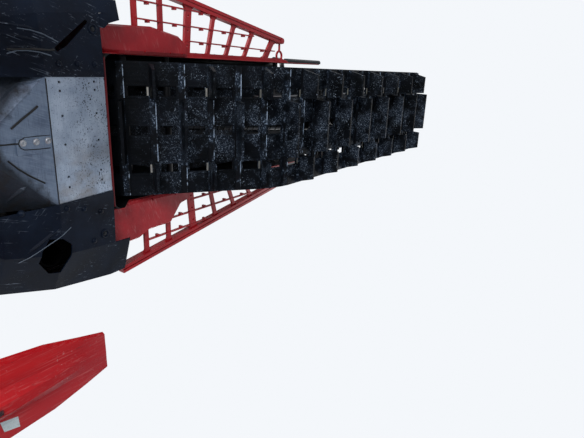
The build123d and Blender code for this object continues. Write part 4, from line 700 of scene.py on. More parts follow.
def loop_parts():
    """Straight runs and arcs of the loop at the belt's middle, in millimetres, with their lengths."""
    normals = []
    for (y0, z0, r0), (y1, z1, r1) in zip(LOOP, LOOP[1:] + LOOP[:1]):
        gap = math.hypot(y1 - y0, z1 - z0)
        ay, az, lean = (y1 - y0) / gap, (z1 - z0) / gap, (r0 - r1) / gap
        rise = math.sqrt(1 - lean * lean)
        normals.append((ay * lean - az * rise, az * lean + ay * rise))
    parts = []
    for i, (y, z, r) in enumerate(LOOP):
        (ny, nz), radius = normals[i], r + BELT / 2
        start = math.atan2(normals[i - 1][1], normals[i - 1][0])
        turn = (start - math.atan2(nz, ny)) % (2 * math.pi)
        parts.append(("arc", radius * turn, (y, z, radius, start)))
        y1, z1, r1 = LOOP[(i + 1) % len(LOOP)]
        a, b = (y + radius * ny, z + radius * nz), (y1 + (r1 + BELT / 2) * ny, z1 + (r1 + BELT / 2) * nz)
        parts.append(("run", math.dist(a, b), (a, b, (ny, nz))))
    return parts[1:] + parts[:1]


LOOP_PARTS = loop_parts()
LOOP_LENGTH = sum(length for _, length, _ in LOOP_PARTS)


def on_track(row, x, lift):
    """Spot on the belt's outer face at a row of lugs, with its run forwards; x and lift are in millimetres."""
    left = (FIRST_ROW + row * LOOP_LENGTH / ROWS) % LOOP_LENGTH
    for kind, length, spec in LOOP_PARTS:
        if left <= length:
            break
        left -= length
    if kind == "run":
        a, b, (ny, nz) = spec
        y, z = a[0] + (b[0] - a[0]) * left / length, a[1] + (b[1] - a[1]) * left / length
    else:
        middle_y, middle_z, radius, start = spec
        angle = start - left / radius
        ny, nz = math.cos(angle), math.sin(angle)
        y, z = middle_y + radius * ny, middle_z + radius * nz
    out = BELT / 2 + lift
    return mm(x, y + ny * out, z + nz * out), Vector((0, ny, nz)), Vector((0, nz, -ny))


# Settings that a user would change


class FinishSettings(bpy.types.PropertyGroup):
    clip_width: FloatProperty(name="Clip width", description="Width of a track clip", default=25 * MM,
                              min=0.01, max=0.05, unit="LENGTH")
    rib_height: FloatProperty(name="Rib height", description="Height of the ribs across the track",
                              default=8 * MM, min=0.002, max=0.015, unit="LENGTH")
    rivet_radius: FloatProperty(name="Rivet radius", description="Radius of a sheet rivet's head",
                                default=4.5 * MM, min=0.001, max=0.01, unit="LENGTH")
    bolt_radius: FloatProperty(name="Bolt radius", description="Radius of a bolt's hexagon head",
                               default=6 * MM, min=0.002, max=0.02, unit="LENGTH")
    coil_turns: FloatProperty(name="Spring turns", description="Turns of a front spring", default=8.0,
                              min=3, max=14)
    grip_ribs: IntProperty(name="Grip ribs", description="Ribs on each handlebar grip", default=15,
                           min=2, max=40)
    seat_swell: FloatProperty(name="Seat swell", description="Most that the seat cover may swell",
                              default=9 * MM, min=0.0, max=0.03, unit="LENGTH")


class StudioSettings(bpy.types.PropertyGroup):
    lamp_power: FloatProperty(name="Lamps", description="Power of one share of light", default=60.0, min=0,
                              subtype="POWER")
    sky: FloatProperty(name="Room light", description="Strength of the light from all round", default=0.6,
                       min=0, max=2)
    floor_colour: StringProperty(name="Floor colour", description="sRGB hex colour of the floor",
                                 default="#DFE2E6")


# Pieces


class NodeFinishes(bpy.types.Operator):
    """Gives every solid of the model its finish"""

    bl_idname = "snowmobile.node_finishes"
    bl_label = "Finishes"

    def execute(self, context):
        for finish, names in NODE_FINISH.items():
            for name in names:
                slots = NODES[name].data.materials
                slots.clear()
                slots.append(FINISHES[finish])
        return {"FINISHED"}


class TrackFittings(bpy.types.Operator):
    """Ribs over the track's cross rods, pale lines of painted highlight on their edges, and the steel clips
    that its drive teeth run on
    """

    bl_idname = "snowmobile.track_fittings"
    bl_label = "Track ribs and clips"

    windows = (117.5, 0, -117.5)
    outer_lugs = (148, -148)
    # Shares of a pitch: a clip ahead of its rib, its edge with a painted highlight behind it, and a window's
    # middle
    clip_ahead, edge_behind, window_ahead = 0.13, 0.095, 0.5

    def execute(self, context):
        settings = context.scene.snowmobile_finish
        height, even, odd = settings.rib_height / MM, range(0, ROWS, 2), range(1, ROWS, 2)
        ribs = [on_track(row, 0, 0) for row in range(ROWS)]
        middle = [on_track(row - self.edge_behind, 0, height - 0.5) for row in even]
        outer = [on_track(row - self.edge_behind, x, height - 0.5) for row in odd for x in self.outer_lugs]
        clips = [on_track(row + self.clip_ahead, x, 0.4) for row in even for x in self.windows if x]
        pads = [on_track(row + self.window_ahead, x + dx, 0)
                for row in range(ROWS) for x in self.windows for dx in (-18, 18)]
        for name, spots, finish, slot, *sizes, crest in (
            ("track_ribs", ribs, "rib", "tyre", 402, 20, height / 0.8, 0.8),
            # Pale lines of painted highlight on the ribs' edges
            ("rib_edges_middle", middle, "worn_edge", "tyre", 188, 2.6, 2, 0.8),
            ("rib_edges_outer", outer, "worn_edge", "tyre", 100, 2.6, 2, 0.8),
            ("track_clips", clips, "clip", "dark_steel", settings.clip_width / MM, 7.5, 2.4, 0.6),
            ("window_edges", pads, "track", "tyre", 5, 54, 3.5, 0.95),
        ):
            width, length, tall = (size * MM for size in sizes)
            repeated(name, "bar", spots, finish, slot, Width=width, Length=length, Height=tall, Crest=crest)
        return {"FINISHED"}


class Fasteners(bpy.types.Operator):
    """Rivets, screws and bolts of the sheet-metal and moulded panels"""

    bl_idname = "snowmobile.fasteners"
    bl_label = "Rivets and bolts"

    # Places (x, y) on the belly, the hood, the console and the nose, and (y, z) on the side panels
    strap = ((8, -516), (8, -484), (8, -454))
    pan_domes = ((189, -402), (189, -347), (190, -293), (-160, -542), (-174, -423), (-188, -368), (-209, -312),
                 (-291, -340))
    pan_rings = ((277, -288), (-280, -302))
    side_panels = ((-1080, 700), (-900, 760), (-700, 828), (-500, 880), (-260, 850), (-250, 560), (-460, 590),
                   (-680, 620), (-900, 640), (-1080, 610))
    hood = ((150, -1090), (280, -880), (305, -630))
    console = ((280, -560), (250, -390), (215, -235))
    nose_belly = ((90, -1260), (120, -1140), (120, -1060))
    nose_front = (mm(70, -1500, 490), mm(105, -1500, 590))

    def execute(self, context):
        settings = context.scene.snowmobile_finish
        rings = below("belly_pans", self.pan_rings, 0.6 * MM)
        wells = below("footwells", [(x, y) for y in (-225, -80, 20, 70) for x in (231, -231)])
        boards = above("running_boards", [(x, y) for y in range(-120, 640, 95) for x in (229, -229)])
        tunnel = beside("tunnel", [(y, 600) for y in range(-40, 930, 62)]
                        + [(y, 398) for y in range(-60, 940, 80)])
        tunnel += above("tunnel", [(x, y) for x in (-198, 198) for y in range(-180, 945, 75)])
        panels = beside("side_panels", self.side_panels)
        panels += mirrored(above("hood", self.hood)) + mirrored(above("console", self.console))
        nose = mirrored(landed("nose_cover", self.nose_front, BACK))
        nose += mirrored(below("nose_cover", self.nose_belly))
        flap = above("snow_flap", ((-150, 1060), (150, 1060)))
        for name, kind, spots, finish, slot, radius, height in (
            ("strap_rivets", "rivet", below("bulkhead", self.strap), "bright", "bare_aluminium", 8.5, 3.4),
            ("pan_domes", "rivet", below("belly_pans", self.pan_domes), "pan", "black_plastic", 9.5, 5.5),
            ("pan_rings", "ring", rings, "pan", "black_plastic", 11, 3),
            ("pan_screws", "bolt", rings, "dark_steel", "dark_steel", 4, 1.6),
            ("footwell_screws", "rivet", wells, "red_coat", "dark_steel", 5, 2.4),
            ("tunnel_rivets", "rivet", tunnel, "steel", "bare_aluminium", settings.rivet_radius / MM, 2),
            ("board_bolts", "bolt", boards, "steel", "dark_steel", settings.bolt_radius / MM, 5),
            ("panel_screws", "rivet", panels, "cover", "black_plastic", 7, 2.6),
            ("nose_screws", "rivet", nose, "cover", "black_plastic", 7, 2.6),
            ("flap_rivets", "rivet", flap, "steel", "dark_steel", 6, 2.5),
        ):
            repeated(name, kind, spots, finish, slot, Radius=radius * MM, Height=height * MM)
        return {"FINISHED"}


class SeamsAndBeads(bpy.types.Operator):
    """Sealant ahead of the belly plate; folds of the belly, drawn as black lines of painted shade and pale
    lines of painted highlight; slits of the belly; and rolled edges of the tunnel
    """

    bl_idname = "snowmobile.seams"
    bl_label = "Seams and beads"

    # Folds and slits of the belly: node, finish, the line's radius and its points (x, y). On the folds, the
    # black lines are painted shade and the pale lines painted highlight.
    lines = (
        # Black lines of painted shade in the bulkhead's two diagonal folds
        ("bulkhead", "sealant", 2.8, ((91, -469), (79, -486), (61, -513), (43, -538))),
        ("bulkhead", "sealant", 2.2, ((-29, -555), (-50, -535), (-72, -509), (-96, -473))),
        ("bulkhead", "sealant", 1.2, ((20, -446), (21, -480), (20, -511), (16, -523), (8, -527), (-2, -524),
                                      (-8, -514), (-10, -479), (-10, -446))),
        ("bulkhead", "sealant", 2.0, ((9, -575), (8, -558), (8, -542), (8, -529))),
        # Black line of painted shade in the pan's fold; the pale lines after it are painted highlight
        ("belly_pans", "sealant", 2.6, ((216, -523), (218, -498), (220, -464), (219, -424), (223, -395),
                                        (236, -380))),
        ("belly_pans", "painted_highlight", 1.5, ((207, -524), (215, -500), (216, -477), (214, -451), (207, -420))),
        ("belly_pans", "painted_highlight", 1.4, ((263, -492), (261, -463), (254, -433), (239, -396))),
        ("belly_pans", "painted_highlight", 1.2, ((-291, -553), (-275, -513), (-254, -464), (-241, -437), (-228, -414))),
    )
    steps = 6

    def execute(self, context):
        seam = below("belly_plate", [(x, -441.5) for x in range(-157, 158, 6)])
        bead("plate_seam", [place for place, _ in seam], 1.5, "sealant")
        for k, (node, finish, radius, line) in enumerate(self.lines):
            dense = [(x0 + (x1 - x0) * t / self.steps, y0 + (y1 - y0) * t / self.steps)
                     for (x0, y0), (x1, y1) in zip(line, line[1:]) for t in range(self.steps)]
            fold = below(node, [*dense, line[-1]])
            bead(f"belly_line_{k}", [place for place, _ in fold], radius, finish)
        for side, label in SIDES:
            edge = [mm(side * 221.0, y, 357.6) for y in range(-150, 955, 17)]
            bead(f"tunnel_edge_{label}", edge, 2.2, "red_coat")
        return {"FINISHED"}


class Wheels(bpy.types.Operator):
    """Ribs and rings on the faces of the idler wheels, and the nuts on their axles"""

    bl_idname = "snowmobile.wheels"
    bl_label = "Wheels"

    # Wheels as (outer face from the middle, place, height, radius, where the axle's nut lies if it has one)
    wheels = ((162.5, 1464, 175.3, 102, 176), (144.5, 640, 135.3, 62, 157), (144.5, 1180, 135.3, 62, 157),
              (82.5, 690, 424, 66, None))
    ribs = 8
    # A rib runs from its hub's radius to this much inside the wheel's
    hub, rim = 16.5, 13.5

    def execute(self, context):
        for k, (x, y, z, radius, nut) in enumerate(self.wheels):
            middle = Vector((x, y, z))
            spots = []
            for r in range(self.ribs):
                angle = 2 * math.pi * (r + 0.5) / self.ribs
                out = Vector((0, math.cos(angle), math.sin(angle)))
                spots.append(((middle + out * (radius - self.rim + self.hub) / 2) * MM, LEFT, out))
            repeated(f"wheel_ribs_{k}", "bar", mirrored(spots), "cover", "black_plastic", Width=5 * MM,
                     Length=(radius - self.rim - self.hub) * MM, Height=7 * MM, Crest=0.98)
            repeated(f"wheel_rings_{k}", "ring", mirrored([(middle * MM, LEFT)]), "cover", "black_plastic",
                     Radius=radius * 0.56 * MM, Height=2.6 * MM)
            if nut:
                repeated(f"axle_nuts_{k}", "bolt", mirrored([(mm(nut, y, z), LEFT)]), "steel", "dark_steel",
                         Radius=8 * MM, Height=7 * MM)
        return {"FINISHED"}


class Shocks(bpy.types.Operator):
    """Front shocks with body, shaft, collars and spring in place of plain sleeves, and springs in the skid"""

    bl_idname = "snowmobile.shocks"
    bl_label = "Shocks and springs"

    # Lower and upper eye of the left front shock, and foot and head of each shock in the skid
    front = (Vector((340, -794, 308)), Vector((164.3, -760, 680)))
    skid = ((Vector((0, 540, 100)), Vector((0, 75, 432))), (Vector((0, 715, 100)), Vector((0, 845, 262))))

    def execute(self, context):
        turns = context.scene.snowmobile_finish.coil_turns
        low, high = self.front
        along, span = (high - low).normalized(), (high - low).length
        parts = bmesh.new()
        for at, radius, depth, top in (  # where each starts, its radius, its length and its radius on top
            (16, 9, span - 40, None),  # shaft
            (span - 150, 17, 112, None),  # body
            (40, 26.5, 6, 22),  # lower collar
            (span - 68, 22, 6, 26.5),  # upper collar
            (span - 62, 14, 26, None),  # neck
            (span - 150, 19, 14, 19),  # end of the body
        ):
            disc(parts, (low + along * at) * MM, along, radius, depth, top)
        for eye in (low, high):
            disc(parts, (eye - Vector((0, 12.5, 0))) * MM, BACK, 14, 25)
        for side, label in SIDES:
            half = parts.copy()
            bmesh.ops.transform(half, matrix=Matrix.Scale(side, 4, LEFT), verts=half.verts)
            solid(f"front_shock_{label}", half, "steel", covers=("front_shocks",))
        parts.free()
        # Within the tunnel's width the red_coat finish paints these springs black, as painted shade
        springs = mirrored([((low + along * 46) * MM, along, along.orthogonal())])
        repeated("front_springs", "coil", springs, "red_coat", "dark_steel", Turns=turns, Radius=22.5 * MM,
                 Length=(span - 112) * MM, Height=4 * MM)
        for k, (foot, head) in enumerate(self.skid):
            way, reach = (head - foot).normalized(), (head - foot).length - 110
            repeated(f"skid_spring_{k}", "coil", [((foot + way * 50) * MM, way)], "red_coat", "dark_steel",
                     Turns=reach / 22, Radius=24.5 * MM, Length=reach * MM, Height=3.5 * MM)
        return {"FINISHED"}


class Seat(bpy.types.Operator):
    """Padded seat: the plain solid remeshed and swelled by a short cloth simulation, with piped seams"""

    bl_idname = "snowmobile.seat"
    bl_label = "Padded seat"

    voxel = 6 * MM
    pressure = 4.0
    frames = 20
    # Room that the plain shape leaves for the swell at its sides and top, and the height that stays pinned
    side_room, top_room, pinned_height = 6 * MM, 7 * MM, 12 * MM

    def execute(self, context):
        low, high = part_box("seat")
        mesh = NODES["seat"].data.copy()
        cushion = linked("seat_cushion", mesh)
        self.shape(mesh, low, high)
        remesh = cushion.modifiers.new("remesh", "REMESH")
        remesh.mode, remesh.voxel_size = "VOXEL", self.voxel
        self.keep(cushion)
        rest = [v.co.copy() for v in cushion.data.vertices]
        self.swell(context.scene, cushion, rest, low)
        limit = context.scene.snowmobile_finish.seat_swell
        for v, old in zip(cushion.data.vertices, rest):
            step = v.co - old
            v.co = old + step.normalized() * min(step.length, limit)
            v.co.z = max(v.co.z, low.z)
            v.co.y = min(max(v.co.y, low.y), high.y)
        smooth = cushion.modifiers.new("smooth", "SUBSURF")
        smooth.levels = smooth.render_levels = 1
        self.keep(cushion)
        cushion.data.shade_smooth()
        cushion.data.materials.clear()
        cushion.data.materials.append(FINISHES["seat"])
        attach(cushion, "chassis")
        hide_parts("seat")
        self.seams(cushion.data, low, high)
        return {"FINISHED"}

    def shape(self, mesh, low, high):
        """Rounds the upper edges of the plain solid and draws its sides and top in, for the swell to fill."""
        shape = bmesh.new()
        shape.from_mesh(mesh)
        bmesh.ops.remove_doubles(shape, verts=shape.verts, dist=1e-5)
        bmesh.ops.dissolve_limit(shape, angle_limit=0.02, verts=shape.verts, edges=shape.edges)
        sharp = [e for e in shape.edges
                 if e.calc_face_angle(0) > 0.3 and min(v.co.z for v in e.verts) > low.z + 30 * MM]
        bmesh.ops.bevel(shape, geom=sharp, offset=14 * MM, segments=3, affect="EDGES", profile=0.6)
        for v in shape.verts:
            v.co.x *= 1 - self.side_room / high.x
            v.co.z = low.z + (v.co.z - low.z) * (1 - self.top_room / (high.z - low.z))
        shape.to_mesh(mesh)
        shape.free()

    def swell(self, scene, cushion, rest, low):
        """Blows the cover up by a cloth simulation that holds its lowest band."""
        pinned = cushion.vertex_groups.new(name="base")
        pinned.add([i for i, p in enumerate(rest) if p.z < low.z + self.pinned_height], 1.0, "REPLACE")
        cloth = cushion.modifiers.new("cloth", "CLOTH").settings
        cloth.use_pressure, cloth.uniform_pressure_force = True, self.pressure
        cloth.effector_weights.gravity, cloth.vertex_group_mass = 0.0, "base"
        for number in range(1, self.frames + 1):
            scene.frame_set(number)
        self.keep(cushion)
        scene.frame_set(1)

    def keep(self, target):
        """Turns the object's modifiers into its mesh."""
        mesh = final_mesh(target)
        target.modifiers.clear()
        target.data = mesh

    def seams(self, mesh, low, high):
        """Piping down both sides of the top and one seam across the middle."""
        shell = shell_of(mesh)
        run = high.y - low.y - 0.03
        rays = [([Vector((side * 0.3, low.y + 0.012 + run * k / 50, high.z + 0.13)) for k in range(51)],
                 Vector((-side, 0, -1.1)).normalized()) for side, _ in SIDES]
        across = [Vector((0.116 * (k / 16 - 1), low.y + 0.29, high.z + 0.1)) for k in range(33)]
        rays.append((across, Vector(DOWN)))
        for k, (spots, aim) in enumerate(rays):
            line = [hit for hit in (shell.ray_cast(spot, aim)[0] for spot in spots) if hit]
            bead(f"seat_piping_{k}", line, 2.2, "rubber")


class BarFittings(bpy.types.Operator):
    """Grip ribs and collars, the clamp with its screws, the pull strap and the switches on the bar"""

    bl_idname = "snowmobile.bar_fittings"
    bl_label = "Handlebar fittings"

    bar_radius = 11.0
    clamp_lean = 28
    clamp_top = 17
    # Pull strap: half its span, how far its arch draws in, its rise, half its width, thickness and foot
    span, draw_in, rise, half_width, thick, foot = 62, 10, 31, 11, 2.4, 10

    def execute(self, context):
        _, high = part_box("grips")
        left = [v.co for v in NODES["grips"].data.vertices if v.co.x > 0]
        start = min(p.x for p in left)
        near, far = (sum(part, Vector()) / len(part) for part in (
            [p for p in left if p.x < start + 14 * MM], [p for p in left if p.x > high.x - 14 * MM]))
        along = (far - near).normalized()
        count = context.scene.snowmobile_finish.grip_ribs
        ribs = [(near.lerp(far, 0.08 + 0.84 * k / (count - 1)), along) for k in range(count)]
        for name, spots, radius, height in (("grip_ribs", ribs, 15.6, 1.6),
                                            ("grip_collars", [(near, along), (far, along)], 15, 3.4)):
            repeated(name, "ring", mirrored(spots), "rubber", "rubber", "steering", Radius=radius * MM,
                     Height=height * MM)
        self.clamp()
        for side, label in SIDES:
            flip = Vector((side, 1, 1))
            here = facing_matrix((near - along * 32 * MM) * flip, (0, -0.25, 0.97), along * flip)
            built(f"switch_block_{label}", "cover", here, [((-15, -15, 8), (15, 15, 19.5), 3)],
                  body="steering")
            built(f"switch_button_{label}", "red_body" if side < 0 else "rubber", here, (),
                  [(18.5, 7, 5, 6, 24)], "steering")
        return {"FINISHED"}

    def clamp(self):
        """The bar's clamp, its four screws, and the strap that arches over it."""
        low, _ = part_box("handlebar")
        centre = Vector((0, low.y + self.bar_radius * MM, low.z + self.bar_radius * MM))
        lean = facing_matrix(centre, leant(self.clamp_lean), LEFT)
        built("bar_clamp", "cast", lean, [((-34, -19, -8), (34, 19, self.clamp_top), 4)],
              body="steering")
        screws = [(lean @ mm(x, y, self.clamp_top), lean.to_3x3() @ Vector(UP))
                  for x in (-25, 25) for y in (-13, 13)]
        repeated("clamp_bolts", "bolt", screws, "steel", "dark_steel", "steering", Radius=3.6 * MM,
                 Height=3.4 * MM)
        corners = [(-self.half_width, 0), (self.half_width, 0), (self.half_width, self.thick),
                   (-self.half_width, self.thick)]
        strap, rows = bmesh.new(), []
        for k in range(25):
            angle = math.pi * k / 24
            x = -(self.span - self.draw_in * math.sin(angle)) * math.cos(angle)
            z = self.foot + self.rise * math.sin(angle)
            rows.append([strap.verts.new(lean @ mm(x, y, z + t)) for y, t in corners])
        for a, b in zip(rows, rows[1:]):
            for k in range(4):
                strap.faces.new((a[k], a[(k + 1) % 4], b[(k + 1) % 4], b[k]))
        strap.faces.new(rows[0])
        strap.faces.new(rows[-1])
        solid("pull_strap", strap, "webbing", "steering", 60)


class Lamps(bpy.types.Operator):
    """Bowls and housings behind the front lenses, the tail reflector, and the gauge's display"""

    bl_idname = "snowmobile.lamps"
    bl_label = "Lamps and gauge"

    # Two bowls in each front lamp: how far along the lens each lies, and its radius
    bowls = ((-38, 21), (16, 25))
    tail_cells = 7

    def execute(self, context):
        self.headlights()
        low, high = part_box("gauge")
        face = ((low.x + high.x) / 2, high.y + 0.2, low.z + (high.z - low.z) * 0.52)
        (place, facing), = landed("gauge", [face], AHEAD)
        here = facing_matrix(place, facing, LEFT)
        built("gauge_bezel", "cover", here, [((-66, -27, -2), (66, 27, 3), 2)])
        built("gauge_glass", "dial", here, [((-58, -20, 0), (58, 20, 3.6), 1)])
        low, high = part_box("tail_light")
        cells = bmesh.new()
        for k in range(self.tail_cells):
            x = low.x + (high.x - low.x) * (k + 0.5) / self.tail_cells
            disc(cells, (x, high.y - 15 * MM, (low.z + high.z) / 2), BACK, 6, 7, 12, 24)
        solid("tail_light_cells", cells, "mirror")
        return {"FINISHED"}

    def headlights(self):
        """Behind each lens, a housing that is the lens drawn in and moved back, with bowls and projectors."""
        source = bmesh.new()
        source.from_mesh(NODES["headlights"].data)
        bmesh.ops.remove_doubles(source, verts=source.verts, dist=1e-5)
        bmesh.ops.delete(source, geom=[v for v in source.verts if v.co.x < 0], context="VERTS")
        middle = sum((v.co for v in source.verts), Vector()) / len(source.verts)
        (lens, facing), = landed("headlights", [middle + Vector((0.4, -0.2, 0.05))], (-0.4, 0.2, -0.05))
        along = Vector((0.5, 1.0, 0.1)).normalized()
        for v in source.verts:
            v.co = middle + (v.co - middle) * 0.93 - facing * 26 * MM
        for side, label in SIDES:
            housing, bowls, projectors = source.copy(), bmesh.new(), bmesh.new()
            for shift, radius in self.bowls:
                place = lens + along * shift * MM - facing * 22 * MM
                disc(bowls, place, facing, radius * 0.5, 13, radius)
                bmesh.ops.create_uvsphere(projectors, u_segments=24, v_segments=14, radius=radius * 0.62 * MM,
                                          matrix=Matrix.Translation(place + facing * 8 * MM))
            for shape, name, finish, slot in ((housing, "lamp_housing", "black_coat", "black_plastic"),
                                              (bowls, "lamp_bowls", "mirror", "lens"),
                                              (projectors, "lamp_projectors", "lens", "lens")):
                bmesh.ops.transform(shape, matrix=Matrix.Scale(side, 4, LEFT), verts=shape.verts)
                solid(f"{name}_{label}", shape, finish)
        source.free()


class BodyTrim(bpy.types.Operator):
    """Panel latches, key switch, starter handle, fuel cap grip, the hood's ridge and the left pan's rear lip"""

    bl_idname = "snowmobile.body_trim"
    bl_label = "Body trim"

    # Plan of the lip at the left pan's rear corner, with the height of its underside, and its thickness
    pan_lip = ((283, -262, 299.2), (318, -262, 300.6), (323, -214, 303.8), (358, -216, 315.5), (358, -196, 317),
               (307, -198, 303), (296, -234, 301), (283, -249, 299.6))
    lip_thick = 3
    # Fuel cap: its place, the lean of its axis, and the radius and count of its knurls
    cap, cap_lean, knurl_radius, knurls = mm(0, -150, 912), 10, 41.5, 18

    def execute(self, context):
        lip = bmesh.new()
        low, high = ([lip.verts.new(mm(x, y, z + rise)) for x, y, z in self.pan_lip]
                     for rise in (0, self.lip_thick))
        lip.faces.new(low)
        lip.faces.new(high)
        for k in range(len(low)):
            lip.faces.new((low[k - 1], low[k], high[k], high[k - 1]))
        bmesh.ops.triangulate(lip, faces=[f for f in lip.faces if len(f.verts) > 4])
        solid("pan_lip_left", lip, "pan")
        latches = bmesh.new()
        for place, facing in mirrored(landed("side_panels", [mm(700, -640, 860)], (-1, 0, -0.4))):
            here = facing_matrix(place, facing, BACK)
            block(latches, (-26, -9, -1), (26, 9, 7), here, 3)
            block(latches, (-9, -5, 6), (24, 5, 11), here, 2)
        solid("panel_latches", latches, "rubber")
        switch_spot, pull_spot = above("console", [(150, -330), (-150, -330)])
        built("key_switch", "cover", facing_matrix(*switch_spot, BACK),
              [((-11, -2, 5), (11, 2, 22), 1.5)], [(0, 15, 6, 13)])
        built("starter_handle", "rubber", facing_matrix(*pull_spot, (1, 0.4, 0)),
              [((-30, -9, 5), (30, 9, 20), 7)], [(0, 17, 5, 14)])
        axis = leant(self.cap_lean)
        turns = [Matrix.Rotation(2 * math.pi * k / self.knurls, 3, axis) @ Vector(LEFT)
                 for k in range(self.knurls)]
        spots = [(self.cap + axis * 6 * MM + turned * self.knurl_radius * MM, turned, axis) for turned in turns]
        repeated("fuel_cap_grip", "bar", spots, "cover", "black_plastic", Width=6 * MM, Length=22 * MM,
                 Height=5 * MM, Crest=0.9)
        ridge = above("hood", [(0, y) for y in range(-1290, -606, 12)])
        bead("hood_ridge", [place for place, _ in ridge], 2.4, "red_body")
        return {"FINISHED"}


class SkiFittings(bpy.types.Operator):
    """Saddle bolts, runner studs and a blank sticker on each ski"""

    bl_idname = "snowmobile.ski_fittings"
    bl_label = "Ski fittings"

    centre = 467.0
    bolt = (-960.0, 112.0)
    sticker = ((505, -752), (531, -747), (538, -716), (512, -717))

    def execute(self, context):
        radius = context.scene.snowmobile_finish.bolt_radius * 1.6
        for side, label in SIDES:
            body = f"ski_{label}"
            ends = [(mm(side * self.centre + s * 46, *self.bolt), (s, 0, 0)) for s in (1, -1)]
            repeated(f"saddle_bolts_{label}", "bolt", ends, "steel", "dark_steel", body, Radius=radius,
                     Height=8 * MM)
            studs = [(side * self.centre + dx, y) for y in range(-1140, -760, 90) for dx in (-9, 9)]
            repeated(f"runner_studs_{label}", "rivet", below(body, studs), "steel", "dark_steel", body,
                     Radius=3.6 * MM, Height=1.6 * MM)
            name, corners = f"ski_sticker_{label}", [(side * x, y) for x, y in self.sticker]
            solid(name, skin(name, body, corners), "sticker", body)
        return {"FINISHED"}


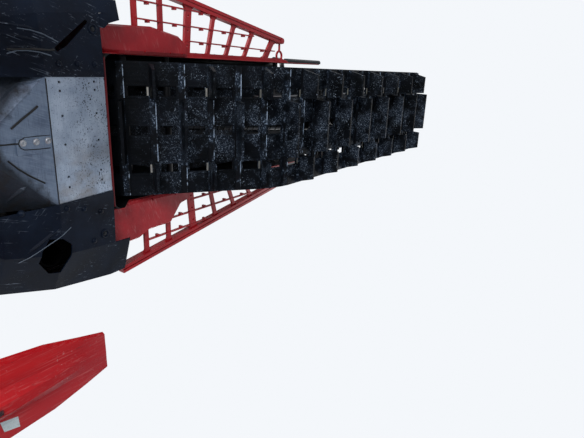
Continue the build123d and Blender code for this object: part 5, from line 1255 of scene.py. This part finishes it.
class Studio(bpy.types.Operator):
    """Floor, lamps, room light and the camera"""

    bl_idname = "snowmobile.studio"
    bl_label = "Studio"

    camera_place = mm(203.0, -1093.6, -884.5)
    camera_right = Vector((0.03956, 0.56331, -0.8253))
    camera_up = Vector((0.95257, 0.22816, 0.20139))
    camera_ahead = Vector((-0.30174, 0.79412, 0.52757))
    focal_pixels, photo_width, sensor = 478.59, 584, 36.0
    floor_half, fade_from, fade_to = 9.0, 1.7, 5.0
    # Large soft lamps: name, place, aim, size, and how many shares of the power each has
    soft_lamps = (
        ("key_lamp", (3.4, -3.0, 5.0), (0, 0, 0.4), 4.4, 3.0),
        ("side_lamp", (-4.0, 3.2, 3.6), (0, 0.2, 0.4), 4.0, 2.0),
        ("low_lamp", (2.2, -2.6, -1.5), (0, -0.1, 0.3), 1.6, 1.5),
        ("low_tail_lamp", (-0.6, 3.4, -1.4), (0, 0.5, 0.3), 1.4, 0.5),
    )

    def execute(self, context):
        settings = context.scene.snowmobile_studio
        self.floor(settings.floor_colour)
        for name, place, aim, size, share in self.soft_lamps:
            data = bpy.data.lights.new(name, "AREA")
            data.shape, data.size, data.energy = "DISK", size, settings.lamp_power * share
            lamp = linked(name, data)
            lamp.location = place
            lamp.rotation_euler = (Vector(aim) - Vector(place)).to_track_quat("-Z", "Y").to_euler()
        self.room(context.scene, settings.sky)
        self.camera(context.scene)
        context.scene.view_settings.view_transform = "Standard"
        return {"FINISHED"}

    def floor(self, tone):
        """Pale matt floor, clear from below and far out, that lets light pass to the machine's belly."""
        made = bpy.data.materials.new("pale_matt_floor")
        tree = bare_tree(made)
        place = add(tree, "ShaderNodeTexCoord", out="Object")
        back = add(tree, "ShaderNodeNewGeometry", out="Backfacing")
        rays = add(tree, "ShaderNodeLightPath", out=None)
        far = add(tree, "ShaderNodeVectorMath", {0: place}, out="Value", operation="LENGTH")
        edge = {"Value": far, "From Min": self.fade_from, "From Max": self.fade_to}
        edge = add(tree, "ShaderNodeMapRange", edge, interpolation_type="SMOOTHSTEP")
        clear = rays["Is Shadow Ray"]
        for other in (rays["Is Diffuse Ray"], back, edge):
            clear = add(tree, "ShaderNodeMath", {0: clear, 1: other}, operation="MAXIMUM")
        face = add(tree, "ShaderNodeBsdfDiffuse", {"Color": tone})
        mixed = add(tree, "ShaderNodeMixShader", {0: clear, 1: face, 2: add(tree, "ShaderNodeBsdfTransparent")})
        add(tree, "ShaderNodeOutputMaterial", {"Surface": mixed}, out=None)
        mesh, half = bpy.data.meshes.new("floor"), self.floor_half
        corners = [(-half, -half, 0), (half, -half, 0), (half, half, 0), (-half, half, 0)]
        mesh.from_pydata(corners, [], [(0, 1, 2, 3)])
        mesh.materials.append(made)
        linked("floor", mesh)

    def room(self, scene, strength):
        """White to the camera and in reflections, and a softer even light on matt surfaces."""
        scene.world = bpy.data.worlds.new("studio_room")
        tree = bare_tree(scene.world)
        rays = add(tree, "ShaderNodeLightPath", out=None)
        seen = rays["Is Camera Ray"]
        for kind in ("Is Glossy Ray", "Is Transmission Ray"):
            seen = add(tree, "ShaderNodeMath", {0: seen, 1: rays[kind]}, operation="MAXIMUM")
        lit = add(tree, "ShaderNodeBackground", {"Color": "#EAF1FA", "Strength": strength})
        white = add(tree, "ShaderNodeBackground", {"Color": "#F4F7FB", "Strength": 1.0})
        mixed = add(tree, "ShaderNodeMixShader", {0: seen, 1: lit, 2: white})
        add(tree, "ShaderNodeOutputWorld", {"Surface": mixed}, out=None)

    def camera(self, scene):
        """Camera at the photographed angle: below the machine's nose, looking up and back along its belly."""
        data = bpy.data.cameras.new("belly_camera")
        data.sensor_width = self.sensor
        data.lens = self.focal_pixels / self.photo_width * self.sensor
        data.clip_start, data.clip_end = 0.02, 60.0
        turn = Matrix((self.camera_right, self.camera_up, -self.camera_ahead)).transposed().to_4x4()
        scene.camera = linked("belly_camera", data)
        scene.camera.matrix_world = Matrix.Translation(self.camera_place) @ turn


PIECES = (NodeFinishes, TrackFittings, Fasteners, SeamsAndBeads, Wheels, Shocks, Seat, BarFittings, Lamps,
          BodyTrim, SkiFittings, Studio)


class FinishPanel(bpy.types.Panel):
    """Buttons and settings of the finish"""

    bl_idname = "VIEW3D_PT_snowmobile_finish"
    bl_label = "Snowmobile finish"
    bl_space_type = "VIEW_3D"
    bl_region_type = "UI"
    bl_category = "Snowmobile"

    def draw(self, context):
        for operator in PIECES:
            self.layout.operator(operator.bl_idname)
        for group in (context.scene.snowmobile_finish, context.scene.snowmobile_studio):
            for name in group.bl_rna.properties.keys():
                if name not in ("rna_type", "name"):
                    self.layout.prop(group, name)


CLASSES = (FinishSettings, StudioSettings, *PIECES, FinishPanel)


def register():
    for cls in CLASSES:
        bpy.utils.register_class(cls)
    bpy.types.Scene.snowmobile_finish = PointerProperty(type=FinishSettings)
    bpy.types.Scene.snowmobile_studio = PointerProperty(type=StudioSettings)


def unregister():
    del bpy.types.Scene.snowmobile_finish
    del bpy.types.Scene.snowmobile_studio
    for cls in reversed(CLASSES):
        bpy.utils.unregister_class(cls)


def main():
    register()
    for operator in PIECES:
        group, name = operator.bl_idname.split(".")
        getattr(getattr(bpy.ops, group), name)()


if __name__ == "__main__":
    main()
